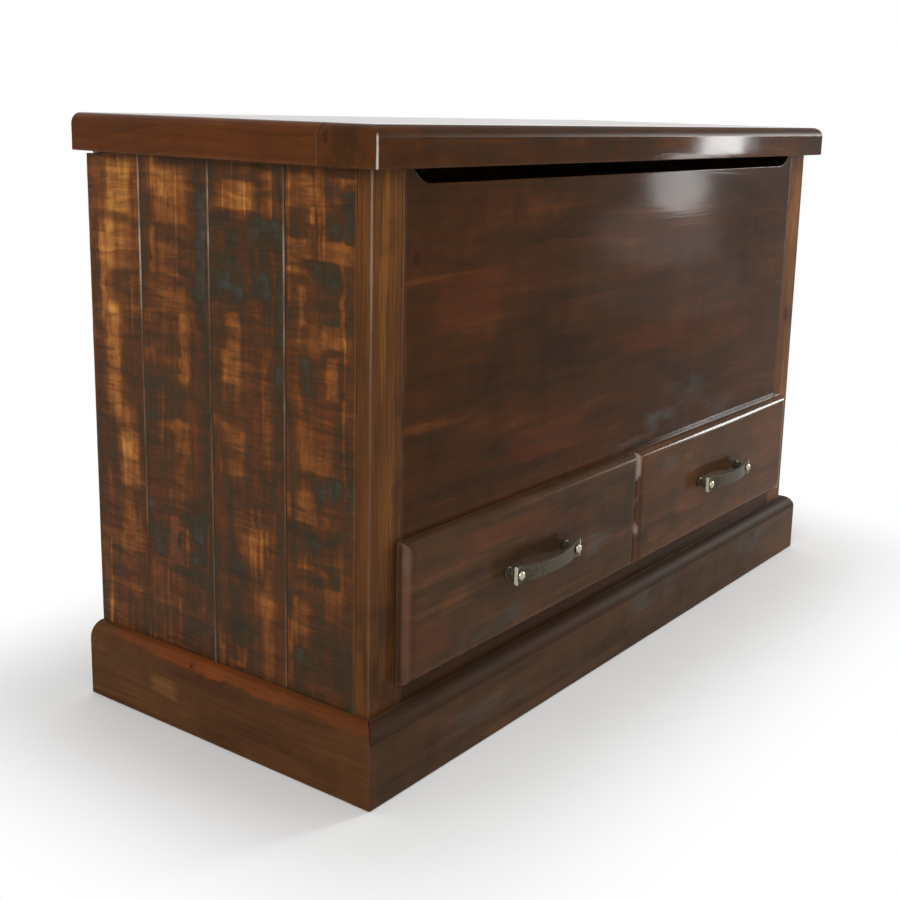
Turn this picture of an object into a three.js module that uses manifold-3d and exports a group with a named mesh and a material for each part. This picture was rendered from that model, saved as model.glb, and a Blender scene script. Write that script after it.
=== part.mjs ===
// A mule chest: a lift-up blanket compartment over two drawers, in stained pine.
// Millimetres, +Z up, the front faces -Y. The origin is the middle of the outer box, on the floor.
import * as THREE from "three";
import { mergeVertices } from "three/addons/utils/BufferGeometryUtils.js";
import Module from "manifold-3d";

const wasm = await Module();
wasm.setup();

// Whole chest
const totalHeight = 700;
const carcassLength = 1046;
const carcassDepth = 431;

// Gaps: between fixed neighbours, under the lid, and what a cut runs past a face
const fitGap = 0.3;
const lidSeatGap = 0.4;
const overrun = 5;

// V-jointed boards of the sides and the back
const boardThickness = 19;
const boardCover = 112;
const frontBoardWidth = 100;
const veeDepth = 2.8;
const tongueLength = 6;
const tongueThickness = 6;
const narrowestBoardShare = 1 / 3;

// Front frame: stiles, panel, bottom rail and the divider's edge
const frameThickness = 19;
const stileWidth = 50;
const drawerOpeningBottom = 125;
const drawerOpeningHeight = 138;
const bottomRailHeight = 70;
const dividerThickness = 18;

// Finger gap cut in the top edge of the front panel
const reliefDepth = 16;
const reliefEndMargin = 13;
const reliefRadius = 36;

// Plinth
const plinthHeight = 90;
const plinthThickness = 20;
const plinthTopFlat = 1;

// Lid
const lidThickness = 42;
const lidSideOverhang = 17.5;
const lidFrontOverhang = 21.5;
const lidBackOverhang = 2.5;
const lidRound = 13;
const lidRailWidth = 76;
const lidPanelThickness = 20;
const lidRabbet = 10;

// Continuous hinge
const hingeLeafThickness = 1.2;
const hingeLeafWidth = 25;
const hingeLeafGap = 0.6;
const hingeBarrelRadius = 2.6;
const hingePinRadius = 1.1;
const hingeEndMargin = 15;
const hingeKnuckleLength = 32;
const hingeKnuckleGap = 0.4;

// Inside the blanket compartment
const compartmentFloorThickness = 12;
const floorCleatHeight = 24;
const floorCleatThickness = 18;
const topCleatHeight = 40;
const topCleatThickness = 18;
const backTopRailHeight = 60;
const backTopRailThickness = 20;

// Drawer runners, and the rail inside the foot of the back
const runnerHeight = 20;
const runnerLedge = 20;
const guideHeight = 20;
const backFootRailHeight = 44;
const backFootRailThickness = 19;

// Drawers
const drawerGap = 3;
const lipWidth = 8;
const lipHeight = 10.4;
const drawerFrontThickness = 18;
const drawerFrontRound = 12;
const drawerBackClearance = 42;
const drawerTopClearance = 15.7;
const drawerSideThickness = 12;
const drawerSideClearance = 1.5;
const drawerBottomThickness = 6;
const drawerBottomInset = 9;
const drawerGrooveDepth = 5;

// Strap handles on turned pillars
const handleCentres = 122;
const strapThickness = 4;
const strapEndHeight = 23;
const strapMiddleHeight = 19.5;
const strapEndMargin = 7;
const strapCornerRadius = 3;
const strapBow = 9;
const strapBowPower = 2.4;
const pillarLength = 14;
const pillarRadius = 5.5;
const pillarBaseRadius = 7;
const pillarBaseThickness = 2;
const boltNeckRadius = 2.8;
const boltHeadRadius = 6.2;
const boltHeadHeight = 4.6;
const boltRimThickness = 0.8;
const boltStudRadius = 2;
const boltStudCover = 4;

// Facets of the round stretches
const edgeRoundSegments = 8;
const reliefSegments = 10;
const strapSegments = 20;
const waistSegments = 8;
const pillarSides = 16;
const headSegments = 5;
const barrelSides = 12;
const pinSides = 8;

// Heights and faces that the pieces share
const lidUnderside = totalHeight - lidThickness;
const carcassTop = lidUnderside - lidSeatGap;
const drawerOpeningTop = drawerOpeningBottom + drawerOpeningHeight;
const sideOuter = carcassLength / 2;
const sideInner = sideOuter - boardThickness;
const frontFace = -carcassDepth / 2;
const backFace = carcassDepth / 2;
const frameBack = frontFace + frameThickness;
const backInner = backFace - boardThickness;
const stileInner = sideOuter - stileWidth;
const dividerHalf = dividerThickness / 2;

// Sizes that follow from what a piece fits in
const plinthRound = plinthThickness - plinthTopFlat;
const drawerBoxLength = backInner - frontFace - drawerBackClearance;
const boltStudLength = drawerFrontThickness - boltStudCover;

// Hinge line, and the rebate in the carcass that its lower leaf lies in
const lidBack = backFace + lidBackOverhang;
const hingeStack = hingeLeafThickness + hingeLeafGap / 2;
const hingeAxisY = lidBack + hingeBarrelRadius + fitGap;
const hingeAxisZ = lidUnderside - fitGap - hingeStack;
const hingeRebateFloor = hingeAxisZ - hingeStack - fitGap;
const hingeRebateFront = hingeAxisY - hingeLeafWidth - fitGap;
const hingeLength = carcassLength - 2 * hingeEndMargin;

// How far the strap stands off the drawer front, and the box that the whole chest fills along Y
const strapBack = pillarLength + fitGap;
const strapFrontMost = strapBack + strapThickness + strapBow;
const drawerFaceY = frontFace - fitGap - drawerFrontThickness;
const chestFrontMost = drawerFaceY - fitGap - strapFrontMost;
const chestBackMost = hingeAxisY + hingeBarrelRadius;

const finishes = {
  sawnBoard: { color: 0x6f4322, roughness: 0.5, metalness: 0 },
  dressedPine: { color: 0x57321c, roughness: 0.32, metalness: 0 },
  insidePine: { color: 0x8a6240, roughness: 0.6, metalness: 0 },
  bronzeStrap: { color: 0x4c4a3c, roughness: 0.42, metalness: 0.85 },
  paleBrass: { color: 0xc9bf9a, roughness: 0.25, metalness: 1 },
};

/** A manifold solid of a closed three.js geometry. */
function solidOf(geometry) {
  const plain = geometry.clone();
  plain.deleteAttribute("normal");
  plain.deleteAttribute("uv");
  const merged = mergeVertices(plain);
  return new wasm.Manifold(
    new wasm.Mesh({
      numProp: 3,
      vertProperties: merged.attributes.position.array,
      triVerts: new Uint32Array(merged.index.array),
    }),
  );
}

/** The three.js geometry of a manifold solid. */
function geometryOf(solid) {
  const mesh = solid.getMesh();
  const geometry = new THREE.BufferGeometry();
  geometry.setAttribute("position", new THREE.BufferAttribute(mesh.vertProperties, 3));
  geometry.setIndex(new THREE.BufferAttribute(mesh.triVerts, 1));
  geometry.computeVertexNormals();
  return geometry;
}

/** A geometry with other geometries cut away from it. */
function cut(geometry, ...tools) {
  const solid = tools.reduce((rest, tool) => rest.subtract(solidOf(tool)), solidOf(geometry));
  return geometryOf(solid);
}

/** The geometry that two geometries have in common. */
function common(first, second) {
  return geometryOf(solidOf(first).intersect(solidOf(second)));
}

/** Several geometries joined in one solid. */
function joined(...parts) {
  return geometryOf(parts.map(solidOf).reduce((whole, part) => whole.add(part)));
}

/** A box between two corners. */
function block([x0, y0, z0], [x1, y1, z1]) {
  const box = new THREE.BoxGeometry(x1 - x0, y1 - y0, z1 - z0);
  return box.translate((x0 + x1) / 2, (y0 + y1) / 2, (z0 + z1) / 2);
}

/** An outline in (x, y), extruded up from z0 to z1. */
function prismZ(shape, z0, z1) {
  const options = { depth: z1 - z0, bevelEnabled: false };
  return new THREE.ExtrudeGeometry(shape, options).translate(0, 0, z0);
}

/** An outline in (y, z), extruded along x from x0 to x1. */
function prismX(shape, x0, x1) {
  const turn = new THREE.Matrix4().makeBasis(
    new THREE.Vector3(0, 1, 0),
    new THREE.Vector3(0, 0, 1),
    new THREE.Vector3(1, 0, 0),
  );
  return prismZ(shape, x0, x1).applyMatrix4(turn);
}

/** An outline in (x, z), extruded along y from y0 to y1. */
function prismY(shape, y0, y1) {
  const turn = new THREE.Matrix4().makeBasis(
    new THREE.Vector3(1, 0, 0),
    new THREE.Vector3(0, 0, 1),
    new THREE.Vector3(0, -1, 0),
  );
  return prismZ(shape, -y1, -y0).applyMatrix4(turn);
}

/** An outline through points, each given once. */
function outline(points) {
  return new THREE.Shape(points.map(([x, y]) => new THREE.Vector2(x, y)));
}

/** Points along a circle's arc. */
function arcPoints(cx, cy, radius, from, to, segments) {
  return Array.from({ length: segments + 1 }, (_, i) => {
    const angle = from + ((to - from) * i) / segments;
    return [cx + radius * Math.cos(angle), cy + radius * Math.sin(angle)];
  });
}

/** A named piece with a material of its own. */
function piece(name, geometry, finish) {
  const mesh = new THREE.Mesh(geometry, new THREE.MeshStandardMaterial(finishes[finish]));
  mesh.name = name;
  return mesh;
}

/** A group at a place, holding pieces. */
function groupAt(name, [x, y, z], pieces) {
  const group = new THREE.Group();
  group.name = name;
  group.position.set(x, y, z);
  group.add(...pieces);
  return group;
}

/** The plan of a V-jointed board, centred: x runs across its width, with the tongue at +x. */
function boardPlan(width, groove, tongue) {
  const half = boardThickness / 2;
  const start = -width / 2 + fitGap / 2;
  const end = width / 2 - fitGap / 2;
  const startVee = groove ? veeDepth : 0;
  const endVee = tongue ? veeDepth : 0;
  const tongueHalf = tongueThickness / 2;
  const grooveHalf = tongueHalf + fitGap;
  const points = [[start + startVee, -half], [end - endVee, -half]];
  if (tongue) {
    points.push([end, veeDepth - half], [end, -tongueHalf], [end + tongueLength, -tongueHalf]);
    points.push([end + tongueLength, tongueHalf], [end, tongueHalf], [end, half - veeDepth]);
  }
  points.push([end - endVee, half], [start + startVee, half]);
  if (groove) {
    points.push([start, half - veeDepth], [start, grooveHalf], [start + tongueLength, grooveHalf]);
    points.push([start + tongueLength, -grooveHalf], [start, -grooveHalf], [start, veeDepth - half]);
  }
  return outline(points);
}

/** Where the joints of a run of boards fall, both ends included. */
function boardJoints(start, end, firstWidth) {
  const joints = [start, start + firstWidth];
  while (end - joints.at(-1) > boardCover * (1 + narrowestBoardShare)) {
    joints.push(joints.at(-1) + boardCover);
  }
  return [...joints, end];
}

/** One board for each pair of neighbouring joints, as {plan, middle, last}. */
function boardsBetween(joints) {
  return joints.slice(1).map((end, i) => {
    const start = joints[i];
    const last = i === joints.length - 2;
    return { plan: boardPlan(end - start, i > 0, !last), middle: (start + end) / 2, last };
  });
}

/** The space in the carcass top that the hinge leaf lies in, as wide as the chest. */
function hingeRebate() {
  const reach = sideOuter + overrun;
  return block(
    [-reach, hingeRebateFront, hingeRebateFloor],
    [reach, backFace + overrun, carcassTop + overrun],
  );
}

/** The upright boards of one side: side is -1 for the left and 1 for the right. */
function sideBoards(side, label) {
  const joints = boardJoints(frameBack + fitGap / 2, backFace + fitGap / 2, frontBoardWidth);
  return boardsBetween(joints).map(({ plan, middle, last }, i) => {
    const upright = prismZ(plan, 0, carcassTop);
    upright.rotateZ(Math.PI / 2);
    upright.translate(side * (sideOuter - boardThickness / 2), middle, 0);
    const shaped = last ? cut(upright, hingeRebate()) : upright;
    return piece(`${label}_side_board_${i + 1}`, shaped, "sawnBoard");
  });
}

/** The upright boards of the back, between the sides. */
function backBoards() {
  const span = 2 * sideInner - fitGap;
  const count = Math.round(span / boardCover);
  const joints = Array.from({ length: count + 1 }, (_, i) => -span / 2 + (span * i) / count);
  return boardsBetween(joints).map(({ plan, middle }, i) => {
    const upright = prismZ(plan, 0, hingeRebateFloor);
    upright.translate(middle, backFace - boardThickness / 2, 0);
    return piece(`back_board_${i + 1}`, upright, "sawnBoard");
  });
}

/** The wide front panel, with the long finger gap in its top edge. */
function frontPanel() {
  const halfWidth = stileInner - fitGap;
  const bottom = drawerOpeningTop;
  const reliefHalf = halfWidth - reliefEndMargin;
  const reliefFloor = carcassTop - reliefDepth;
  const reach = Math.sqrt(reliefDepth * (2 * reliefRadius - reliefDepth));
  const centreZ = reliefFloor + reliefRadius;
  const sweep = Math.atan2(reliefDepth - reliefRadius, reach);
  const down = -Math.PI / 2;
  const rightX = reliefHalf - reach;
  const rightEnd = arcPoints(rightX, centreZ, reliefRadius, sweep, down, reliefSegments);
  const leftEnd = rightEnd.map(([x, z]) => [-x, z]).reverse();
  const shape = outline([
    [-halfWidth, bottom],
    [halfWidth, bottom],
    [halfWidth, carcassTop],
    ...rightEnd,
    ...leftEnd,
    [-halfWidth, carcassTop],
  ]);
  return piece("front_panel", prismY(shape, frontFace, frameBack), "dressedPine");
}

/** Stiles, bottom rail, divider and the pieces inside that the boards are fixed to. */
function carcassFrame() {
  const stile = block([stileInner, frontFace, 0], [sideOuter, frameBack, carcassTop]);
  const otherStile = block([-sideOuter, frontFace, 0], [-stileInner, frameBack, carcassTop]);
  const railReach = stileInner - fitGap;
  const rail = block(
    [-railReach, frontFace, drawerOpeningBottom - bottomRailHeight],
    [railReach, frameBack, drawerOpeningBottom],
  );
  const divider = block(
    [-dividerHalf, frontFace, drawerOpeningBottom + fitGap],
    [dividerHalf, backInner - fitGap, drawerOpeningTop - fitGap],
  );
  const insideReach = sideInner - fitGap;
  const floor = block(
    [-insideReach, frameBack + fitGap, drawerOpeningTop],
    [insideReach, backInner - fitGap, drawerOpeningTop + compartmentFloorThickness],
  );
  const topRail = block(
    [-insideReach, backInner - fitGap - backTopRailThickness, hingeRebateFloor - backTopRailHeight],
    [insideReach, backInner - fitGap, hingeRebateFloor],
  );
  const footTop = drawerOpeningBottom - runnerHeight - fitGap;
  const footRail = block(
    [-insideReach, backInner - fitGap - backFootRailThickness, footTop - backFootRailHeight],
    [insideReach, backInner - fitGap, footTop],
  );
  return [
    piece("front_stile_left", otherStile, "dressedPine"),
    piece("front_stile_right", stile, "dressedPine"),
    piece("bottom_rail", rail, "dressedPine"),
    piece("drawer_divider", divider, "insidePine"),
    piece("compartment_floor", floor, "insidePine"),
    piece("back_top_rail", topRail, "insidePine"),
    piece("back_foot_rail", footRail, "insidePine"),
  ];
}

/** The cleats and the drawer runner inside one side: side is -1 for the left and 1 for the right. */
function sideFittings(side, label) {
  const wall = sideInner - fitGap;
  const front = frameBack + fitGap;
  const back = backInner - fitGap;
  const mirrored = (x) => side * x;
  const between = (inner, outer) => [mirrored(inner), mirrored(outer)].sort((a, b) => a - b);
  const [topX0, topX1] = between(wall - topCleatThickness, wall);
  const topCleat = block(
    [topX0, front, carcassTop - topCleatHeight],
    [topX1, back - backTopRailThickness - fitGap, carcassTop],
  );
  const [floorX0, floorX1] = between(wall - floorCleatThickness, wall);
  const floorCleatTop = drawerOpeningTop - fitGap;
  const floorCleat = block(
    [floorX0, front, floorCleatTop - floorCleatHeight],
    [floorX1, back, floorCleatTop],
  );
  const ledge = stileInner - runnerLedge;
  const top = drawerOpeningBottom;
  const plan = [
    [ledge, top - runnerHeight],
    [wall, top - runnerHeight],
    [wall, top + guideHeight],
    [stileInner, top + guideHeight],
    [stileInner, top],
    [ledge, top],
  ];
  const runner = prismY(outline(plan.map(([x, z]) => [mirrored(x), z])), front, back);
  return [
    piece(`top_cleat_${label}`, topCleat, "insidePine"),
    piece(`floor_cleat_${label}`, floorCleat, "insidePine"),
    piece(`drawer_runner_${label}`, runner, "insidePine"),
  ];
}

/** The wide runner under the divider, which carries the inner sides of both drawers. */
function centreRunner() {
  const half = dividerHalf + runnerLedge;
  const runner = block(
    [-half, frameBack + fitGap, drawerOpeningBottom - runnerHeight],
    [half, backInner - fitGap, drawerOpeningBottom],
  );
  return piece("drawer_runner_centre", runner, "insidePine");
}

/** The section of the plinth: x is the distance out from the carcass, y the height. */
function plinthSection(side) {
  const outer = plinthThickness;
  const flat = outer - plinthRound;
  const springing = plinthHeight - plinthRound;
  const round = arcPoints(flat, springing, plinthRound, 0, Math.PI / 2, edgeRoundSegments);
  const points = [[fitGap, 0], [outer, 0], ...round, [fitGap, plinthHeight]];
  return outline(points.map(([x, z]) => [side * x, z]));
}

/** The three plinth boards, mitred at the front corners. */
function plinthBoards() {
  const mitreGap = fitGap * Math.SQRT1_2;
  const front = prismX(plinthSection(-1), -sideOuter, sideOuter);
  const places = front.attributes.position;
  for (let i = 0; i < places.count; i++) {
    const outward = -places.getY(i) - mitreGap;
    places.setX(i, places.getX(i) + Math.sign(places.getX(i)) * outward);
  }
  front.translate(0, frontFace, 0);
  const sides = [-1, 1].map((side) => {
    const board = prismY(plinthSection(side), frontFace, backFace);
    const spots = board.attributes.position;
    for (let i = 0; i < spots.count; i++) {
      if (spots.getY(i) < 0) spots.setY(i, spots.getY(i) - side * spots.getX(i) + mitreGap);
    }
    board.translate(side * sideOuter, 0, 0);
    return piece(side < 0 ? "plinth_left" : "plinth_right", board, "dressedPine");
  });
  return [piece("plinth_front", front, "dressedPine"), ...sides];
}

/** The lid: a thick frame with rounded front and ends, and a thinner panel in its rabbet. */
function lidPieces() {
  const halfLength = sideOuter + lidSideOverhang;
  const front = frontFace - lidFrontOverhang;
  const bottom = lidUnderside;
  const top = totalHeight;
  const roundZ = top - lidRound;
  const quarter = Math.PI / 2;
  const roundOver = (centre, from) =>
    arcPoints(centre, roundZ, lidRound, from, quarter, edgeRoundSegments);
  const endRound = roundOver(halfLength - lidRound, 0);
  const frontRound = roundOver(front + lidRound, Math.PI);
  const innerX = halfLength - lidRailWidth;
  const innerFront = front + lidRailWidth;
  const innerBack = lidBack - lidRailWidth;
  const rabbet = block(
    [-innerX - lidRabbet, innerFront - lidRabbet, top - lidPanelThickness - fitGap],
    [innerX + lidRabbet, innerBack + lidRabbet, top + overrun],
  );
  const leftEnd = endRound.map(([x, z]) => [-x, z]).reverse();
  const faceOutline = outline([
    [-halfLength, bottom],
    [halfLength, bottom],
    ...endRound,
    ...leftEnd,
  ]);
  const section = outline([
    [innerFront, bottom],
    [innerFront, top],
    ...frontRound.reverse(),
    [front, bottom],
  ]);
  const lengthwise = prismX(section, -halfLength - overrun, halfLength + overrun);
  const crosswise = prismY(faceOutline, front - overrun, innerFront + overrun);
  const frontRail = cut(common(lengthwise, crosswise), rabbet);
  const endRail = (side) => {
    const points = [[innerX, bottom], [halfLength, bottom], ...endRound, [innerX, top]];
    const shape = outline(points.map(([x, z]) => [side * x, z]));
    return cut(prismY(shape, innerFront + fitGap, lidBack), rabbet);
  };
  const backRail = cut(
    block([-innerX + fitGap, innerBack, bottom], [innerX - fitGap, lidBack, top]),
    rabbet,
  );
  const panelX = innerX + lidRabbet - fitGap;
  const panel = block(
    [-panelX, innerFront - lidRabbet + fitGap, top - lidPanelThickness],
    [panelX, innerBack + lidRabbet - fitGap, top],
  );
  return [
    piece("lid_front_rail", frontRail, "dressedPine"),
    piece("lid_left_rail", endRail(-1), "dressedPine"),
    piece("lid_right_rail", endRail(1), "dressedPine"),
    piece("lid_back_rail", backRail, "dressedPine"),
    piece("lid_panel", panel, "dressedPine"),
  ];
}

/** A rod along X, centred on the hinge axis. */
function rod(radius, x0, x1, sides) {
  const cylinder = new THREE.CylinderGeometry(radius, radius, x1 - x0, sides);
  return cylinder.rotateZ(Math.PI / 2).translate((x0 + x1) / 2, 0, 0);
}

/** One leaf of the hinge around the axis: above is 1 for the lid's leaf and -1 for the carcass's. */
function hingeLeaf(above, knuckles) {
  const half = hingeLength / 2;
  const boreRadius = hingePinRadius + fitGap;
  const rootY = -(hingeBarrelRadius + boreRadius) / 2;
  const clearY = -hingeBarrelRadius - 2 * fitGap;
  const inner = (above * hingeLeafGap) / 2;
  const outer = above * hingeStack;
  const plate = block(
    [-half, -hingeLeafWidth, Math.min(inner, outer)],
    [half, rootY, Math.max(inner, outer)],
  );
  const notches = knuckles
    .filter(({ owner }) => owner !== above)
    .map(({ start, end }) =>
      block(
        [start - hingeKnuckleGap / 2, clearY, -hingeBarrelRadius - overrun],
        [end + hingeKnuckleGap / 2, overrun, hingeBarrelRadius + overrun],
      ),
    );
  const barrels = knuckles
    .filter(({ owner }) => owner === above)
    .map(({ start, end }) =>
      rod(hingeBarrelRadius, start + hingeKnuckleGap / 2, end - hingeKnuckleGap / 2, barrelSides),
    );
  const bore = rod(boreRadius, -half - overrun, half + overrun, pinSides);
  return cut(joined(cut(plate, ...notches), ...barrels), bore);
}

/** The continuous hinge, as leaves and pin around its own axis. */
function hingePieces() {
  const pairs = Math.floor(hingeLength / (2 * hingeKnuckleLength));
  const count = 2 * pairs + 1;
  const pitch = hingeLength / count;
  const knuckles = Array.from({ length: count }, (_, i) => ({
    owner: i % 2 === 0 ? -1 : 1,
    start: -hingeLength / 2 + i * pitch,
    end: -hingeLength / 2 + (i + 1) * pitch,
  }));
  return {
    fixed: [
      piece("hinge_carcass_leaf", hingeLeaf(-1, knuckles), "paleBrass"),
      piece("hinge_pin", rod(hingePinRadius, -hingeLength / 2, hingeLength / 2, pinSides), "paleBrass"),
    ],
    swinging: [piece("hinge_lid_leaf", hingeLeaf(1, knuckles), "paleBrass")],
  };
}

/** A board whose four front arrises are rounded over, centred in x and z, with its back at y = 0. */
function roundedFront(width, height) {
  const lip = drawerFrontThickness - drawerFrontRound;
  const quarter = Math.PI / 2;
  const section = arcPoints(0, lip, drawerFrontRound, 0, quarter, edgeRoundSegments);
  const rings = [[drawerFrontRound, 0], ...section].map(([x, depth]) => {
    const inset = drawerFrontRound - x;
    const halfWidth = width / 2 - inset;
    const halfHeight = height / 2 - inset;
    return [
      [-halfWidth, -depth, -halfHeight],
      [halfWidth, -depth, -halfHeight],
      [halfWidth, -depth, halfHeight],
      [-halfWidth, -depth, halfHeight],
    ];
  });
  const corners = rings[0].length;
  const indices = [];
  const quad = (a, b, c, d) => indices.push(a, b, c, a, c, d);
  rings.slice(1).forEach((_, ring) => {
    for (let k = 0; k < corners; k++) {
      const next = (k + 1) % corners;
      const low = ring * corners;
      quad(low + k, low + next, low + corners + next, low + corners + k);
    }
  });
  const last = (rings.length - 1) * corners;
  quad(last, last + 1, last + 2, last + 3);
  quad(3, 2, 1, 0);
  const geometry = new THREE.BufferGeometry();
  geometry.setAttribute("position", new THREE.Float32BufferAttribute(rings.flat(2), 3));
  geometry.setIndex(indices);
  geometry.computeVertexNormals();
  return geometry;
}

/** A rod along Y at a place in x, from y0 to y1. */
function peg(radius, x, y0, y1, sides) {
  return new THREE.CylinderGeometry(radius, radius, y1 - y0, sides).translate(x, (y0 + y1) / 2, 0);
}

/** A turned pillar with its stud, shoulder, neck and domed head, along -Y from the drawer face. */
function pillarBolt() {
  const headBase = strapBack + strapThickness + fitGap;
  const domeBase = headBase + boltRimThickness;
  const domeHeight = boltHeadHeight - boltRimThickness;
  const dome = arcPoints(0, 0, 1, 0, Math.PI / 2, headSegments)
    .slice(0, -1)
    .map(([across, up]) => [boltHeadRadius * across, domeBase + domeHeight * up]);
  const profile = [
    [0, -boltStudLength],
    [boltStudRadius, -boltStudLength],
    [boltStudRadius, 0],
    [pillarBaseRadius, 0],
    [pillarBaseRadius, pillarBaseThickness],
    [pillarRadius, pillarBaseThickness],
    [pillarRadius, pillarLength],
    [boltNeckRadius, pillarLength],
    [boltNeckRadius, headBase],
    [boltHeadRadius, headBase],
    ...dome,
    [0, headBase + boltHeadHeight],
  ];
  const points = profile.map(([radius, along]) => new THREE.Vector2(radius, along));
  return new THREE.LatheGeometry(points, pillarSides).rotateX(Math.PI);
}

/** The bowed strap, with its waist and the two holes for the bolts. */
function strap() {
  const footX = handleCentres / 2;
  const endX = footX + strapEndMargin;
  const bowHalf = footX - boltHeadRadius - fitGap;
  const bowAt = (x) => {
    const share = Math.min(Math.abs(x) / bowHalf, 1);
    return strapBow * (1 - share ** strapBowPower);
  };
  const stations = Array.from(
    { length: strapSegments + 1 },
    (_, i) => bowHalf * ((2 * i) / strapSegments - 1),
  );
  const line = [-endX, ...stations, endX].map((x) => [x, strapBack + bowAt(x)]);
  const back = line.map(([x, out]) => [x, -out]);
  const face = line.map(([x, out]) => [x, -out - strapThickness]).reverse();
  const tall = strapEndHeight / 2 + overrun;
  const band = prismZ(outline([...back, ...face]), -tall, tall);
  const halfAt = (x) => {
    const share = Math.min(Math.abs(x) / footX, 1);
    return (strapMiddleHeight + (strapEndHeight - strapMiddleHeight) * share ** 2) / 2;
  };
  const cornerX = endX - strapCornerRadius;
  const cornerZ = strapEndHeight / 2 - strapCornerRadius;
  const corner = arcPoints(cornerX, cornerZ, strapCornerRadius, 0, Math.PI / 2, waistSegments / 2);
  const waist = Array.from({ length: 2 * waistSegments + 1 }, (_, i) => {
    const x = footX * (1 - i / waistSegments);
    return [x, halfAt(x)];
  });
  const upper = [...corner, ...waist, ...corner.map(([x, z]) => [-x, z]).reverse()];
  const lower = upper.map(([x, z]) => [-x, -z]);
  const front = prismY(outline([...upper, ...lower]), -strapFrontMost - overrun, 0);
  const holes = [-footX, footX].map((x) =>
    peg(boltNeckRadius + fitGap, x, -strapFrontMost - overrun, 0, pillarSides),
  );
  return cut(common(band, front), ...holes);
}

/** One drawer: its origin is the middle of its opening, at the carcass face, on the opening's floor. */
function drawerPieces(side, label) {
  const openingWidth = stileInner - dividerHalf;
  const outerEdge = openingWidth / 2 + lipWidth;
  const innerEdge = openingWidth / 2 + dividerHalf - drawerGap / 2;
  const frontWidth = outerEdge + innerEdge;
  const frontHeight = drawerOpeningHeight + 2 * lipHeight;
  const frontX = (side * (outerEdge - innerEdge)) / 2;
  const frontZ = drawerOpeningHeight / 2;
  const bolts = [-1, 1].map((end) => (end * handleCentres) / 2);
  const holeFront = -drawerFrontThickness - overrun;
  const holeEnd = boltStudLength - drawerFrontThickness;
  const studHoles = bolts.map((x) =>
    peg(boltStudRadius + fitGap, x, holeFront, holeEnd, pinSides),
  );
  const board = cut(roundedFront(frontWidth, frontHeight), ...studHoles);
  const front = piece(`drawer_front_${label}`, board, "dressedPine");
  front.position.set(frontX, -fitGap, frontZ);

  const boxHalf = openingWidth / 2 - drawerSideClearance;
  const sideInnerX = boxHalf - drawerSideThickness;
  const boxBottom = fitGap;
  const boxTop = drawerOpeningHeight - drawerTopClearance;
  const bottomZ = boxBottom + drawerBottomInset;
  const grooveTop = bottomZ + drawerBottomThickness + fitGap;
  const sidePlan = [
    [sideInnerX, boxBottom],
    [boxHalf, boxBottom],
    [boxHalf, boxTop],
    [sideInnerX, boxTop],
    [sideInnerX, grooveTop],
    [sideInnerX + drawerGrooveDepth, grooveTop],
    [sideInnerX + drawerGrooveDepth, bottomZ - fitGap],
    [sideInnerX, bottomZ - fitGap],
  ];
  const boxSide = (hand) =>
    prismY(outline(sidePlan.map(([x, z]) => [hand * x, z])), 0, drawerBoxLength);
  const backX = sideInnerX - fitGap;
  const backPanel = block(
    [-backX, drawerBoxLength - drawerSideThickness, bottomZ + drawerBottomThickness + fitGap],
    [backX, drawerBoxLength, boxTop],
  );
  const bottomX = sideInnerX + drawerGrooveDepth - fitGap;
  const bottom = block(
    [-bottomX, 0, bottomZ],
    [bottomX, drawerBoxLength, bottomZ + drawerBottomThickness],
  );

  const handleY = -fitGap - drawerFrontThickness - fitGap;
  const pillars = bolts.map((x, i) => {
    const bolt = piece(`handle_pillar_${label}_${i + 1}`, pillarBolt(), "paleBrass");
    bolt.position.x = x;
    return bolt;
  });
  const handle = groupAt(`handle_${label}`, [frontX, handleY, frontZ], [
    piece(`handle_strap_${label}`, strap(), "bronzeStrap"),
    ...pillars,
  ]);
  return [
    front,
    piece(`drawer_side_${label}_1`, boxSide(-1), "insidePine"),
    piece(`drawer_side_${label}_2`, boxSide(1), "insidePine"),
    piece(`drawer_back_${label}`, backPanel, "insidePine"),
    piece(`drawer_bottom_${label}`, bottom, "insidePine"),
    handle,
  ];
}

/** A drawer in its place: side is -1 for the left and 1 for the right. */
function drawer(side, label) {
  const middleX = (side * (stileInner + dividerHalf)) / 2;
  return groupAt(`drawer_${label}`, [middleX, frontFace, drawerOpeningBottom], drawerPieces(side, label));
}

const hinge = hingePieces();
const hingeOrigin = [0, hingeAxisY, hingeAxisZ];

const carcass = groupAt("carcass", [0, 0, 0], [
  ...sideBoards(-1, "left"),
  ...sideBoards(1, "right"),
  ...backBoards(),
  ...carcassFrame(),
  frontPanel(),
  ...sideFittings(-1, "left"),
  ...sideFittings(1, "right"),
  centreRunner(),
  ...plinthBoards(),
  groupAt("hinge_fixed_half", hingeOrigin, hinge.fixed),
]);

const lid = groupAt("lid", [0, 0, 0], [
  ...lidPieces(),
  groupAt("hinge_swinging_half", hingeOrigin, hinge.swinging),
]);

const chest = groupAt("mule_chest", [0, -(chestFrontMost + chestBackMost) / 2, 0], [
  carcass,
  lid,
  drawer(-1, "left"),
  drawer(1, "right"),
]);

export default chest;
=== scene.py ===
"""A stained pine mule chest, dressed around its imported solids.

Metres, +Z up, the front faces -Y. Each wooden piece is rebuilt from its solid with eased, worn arrises.
"""

import logging
import math
from dataclasses import dataclass, replace
from enum import Enum
from typing import Callable, Iterable, Protocol, Sequence, Union

import bmesh
import bpy
from mathutils import Matrix, Vector, noise


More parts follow.
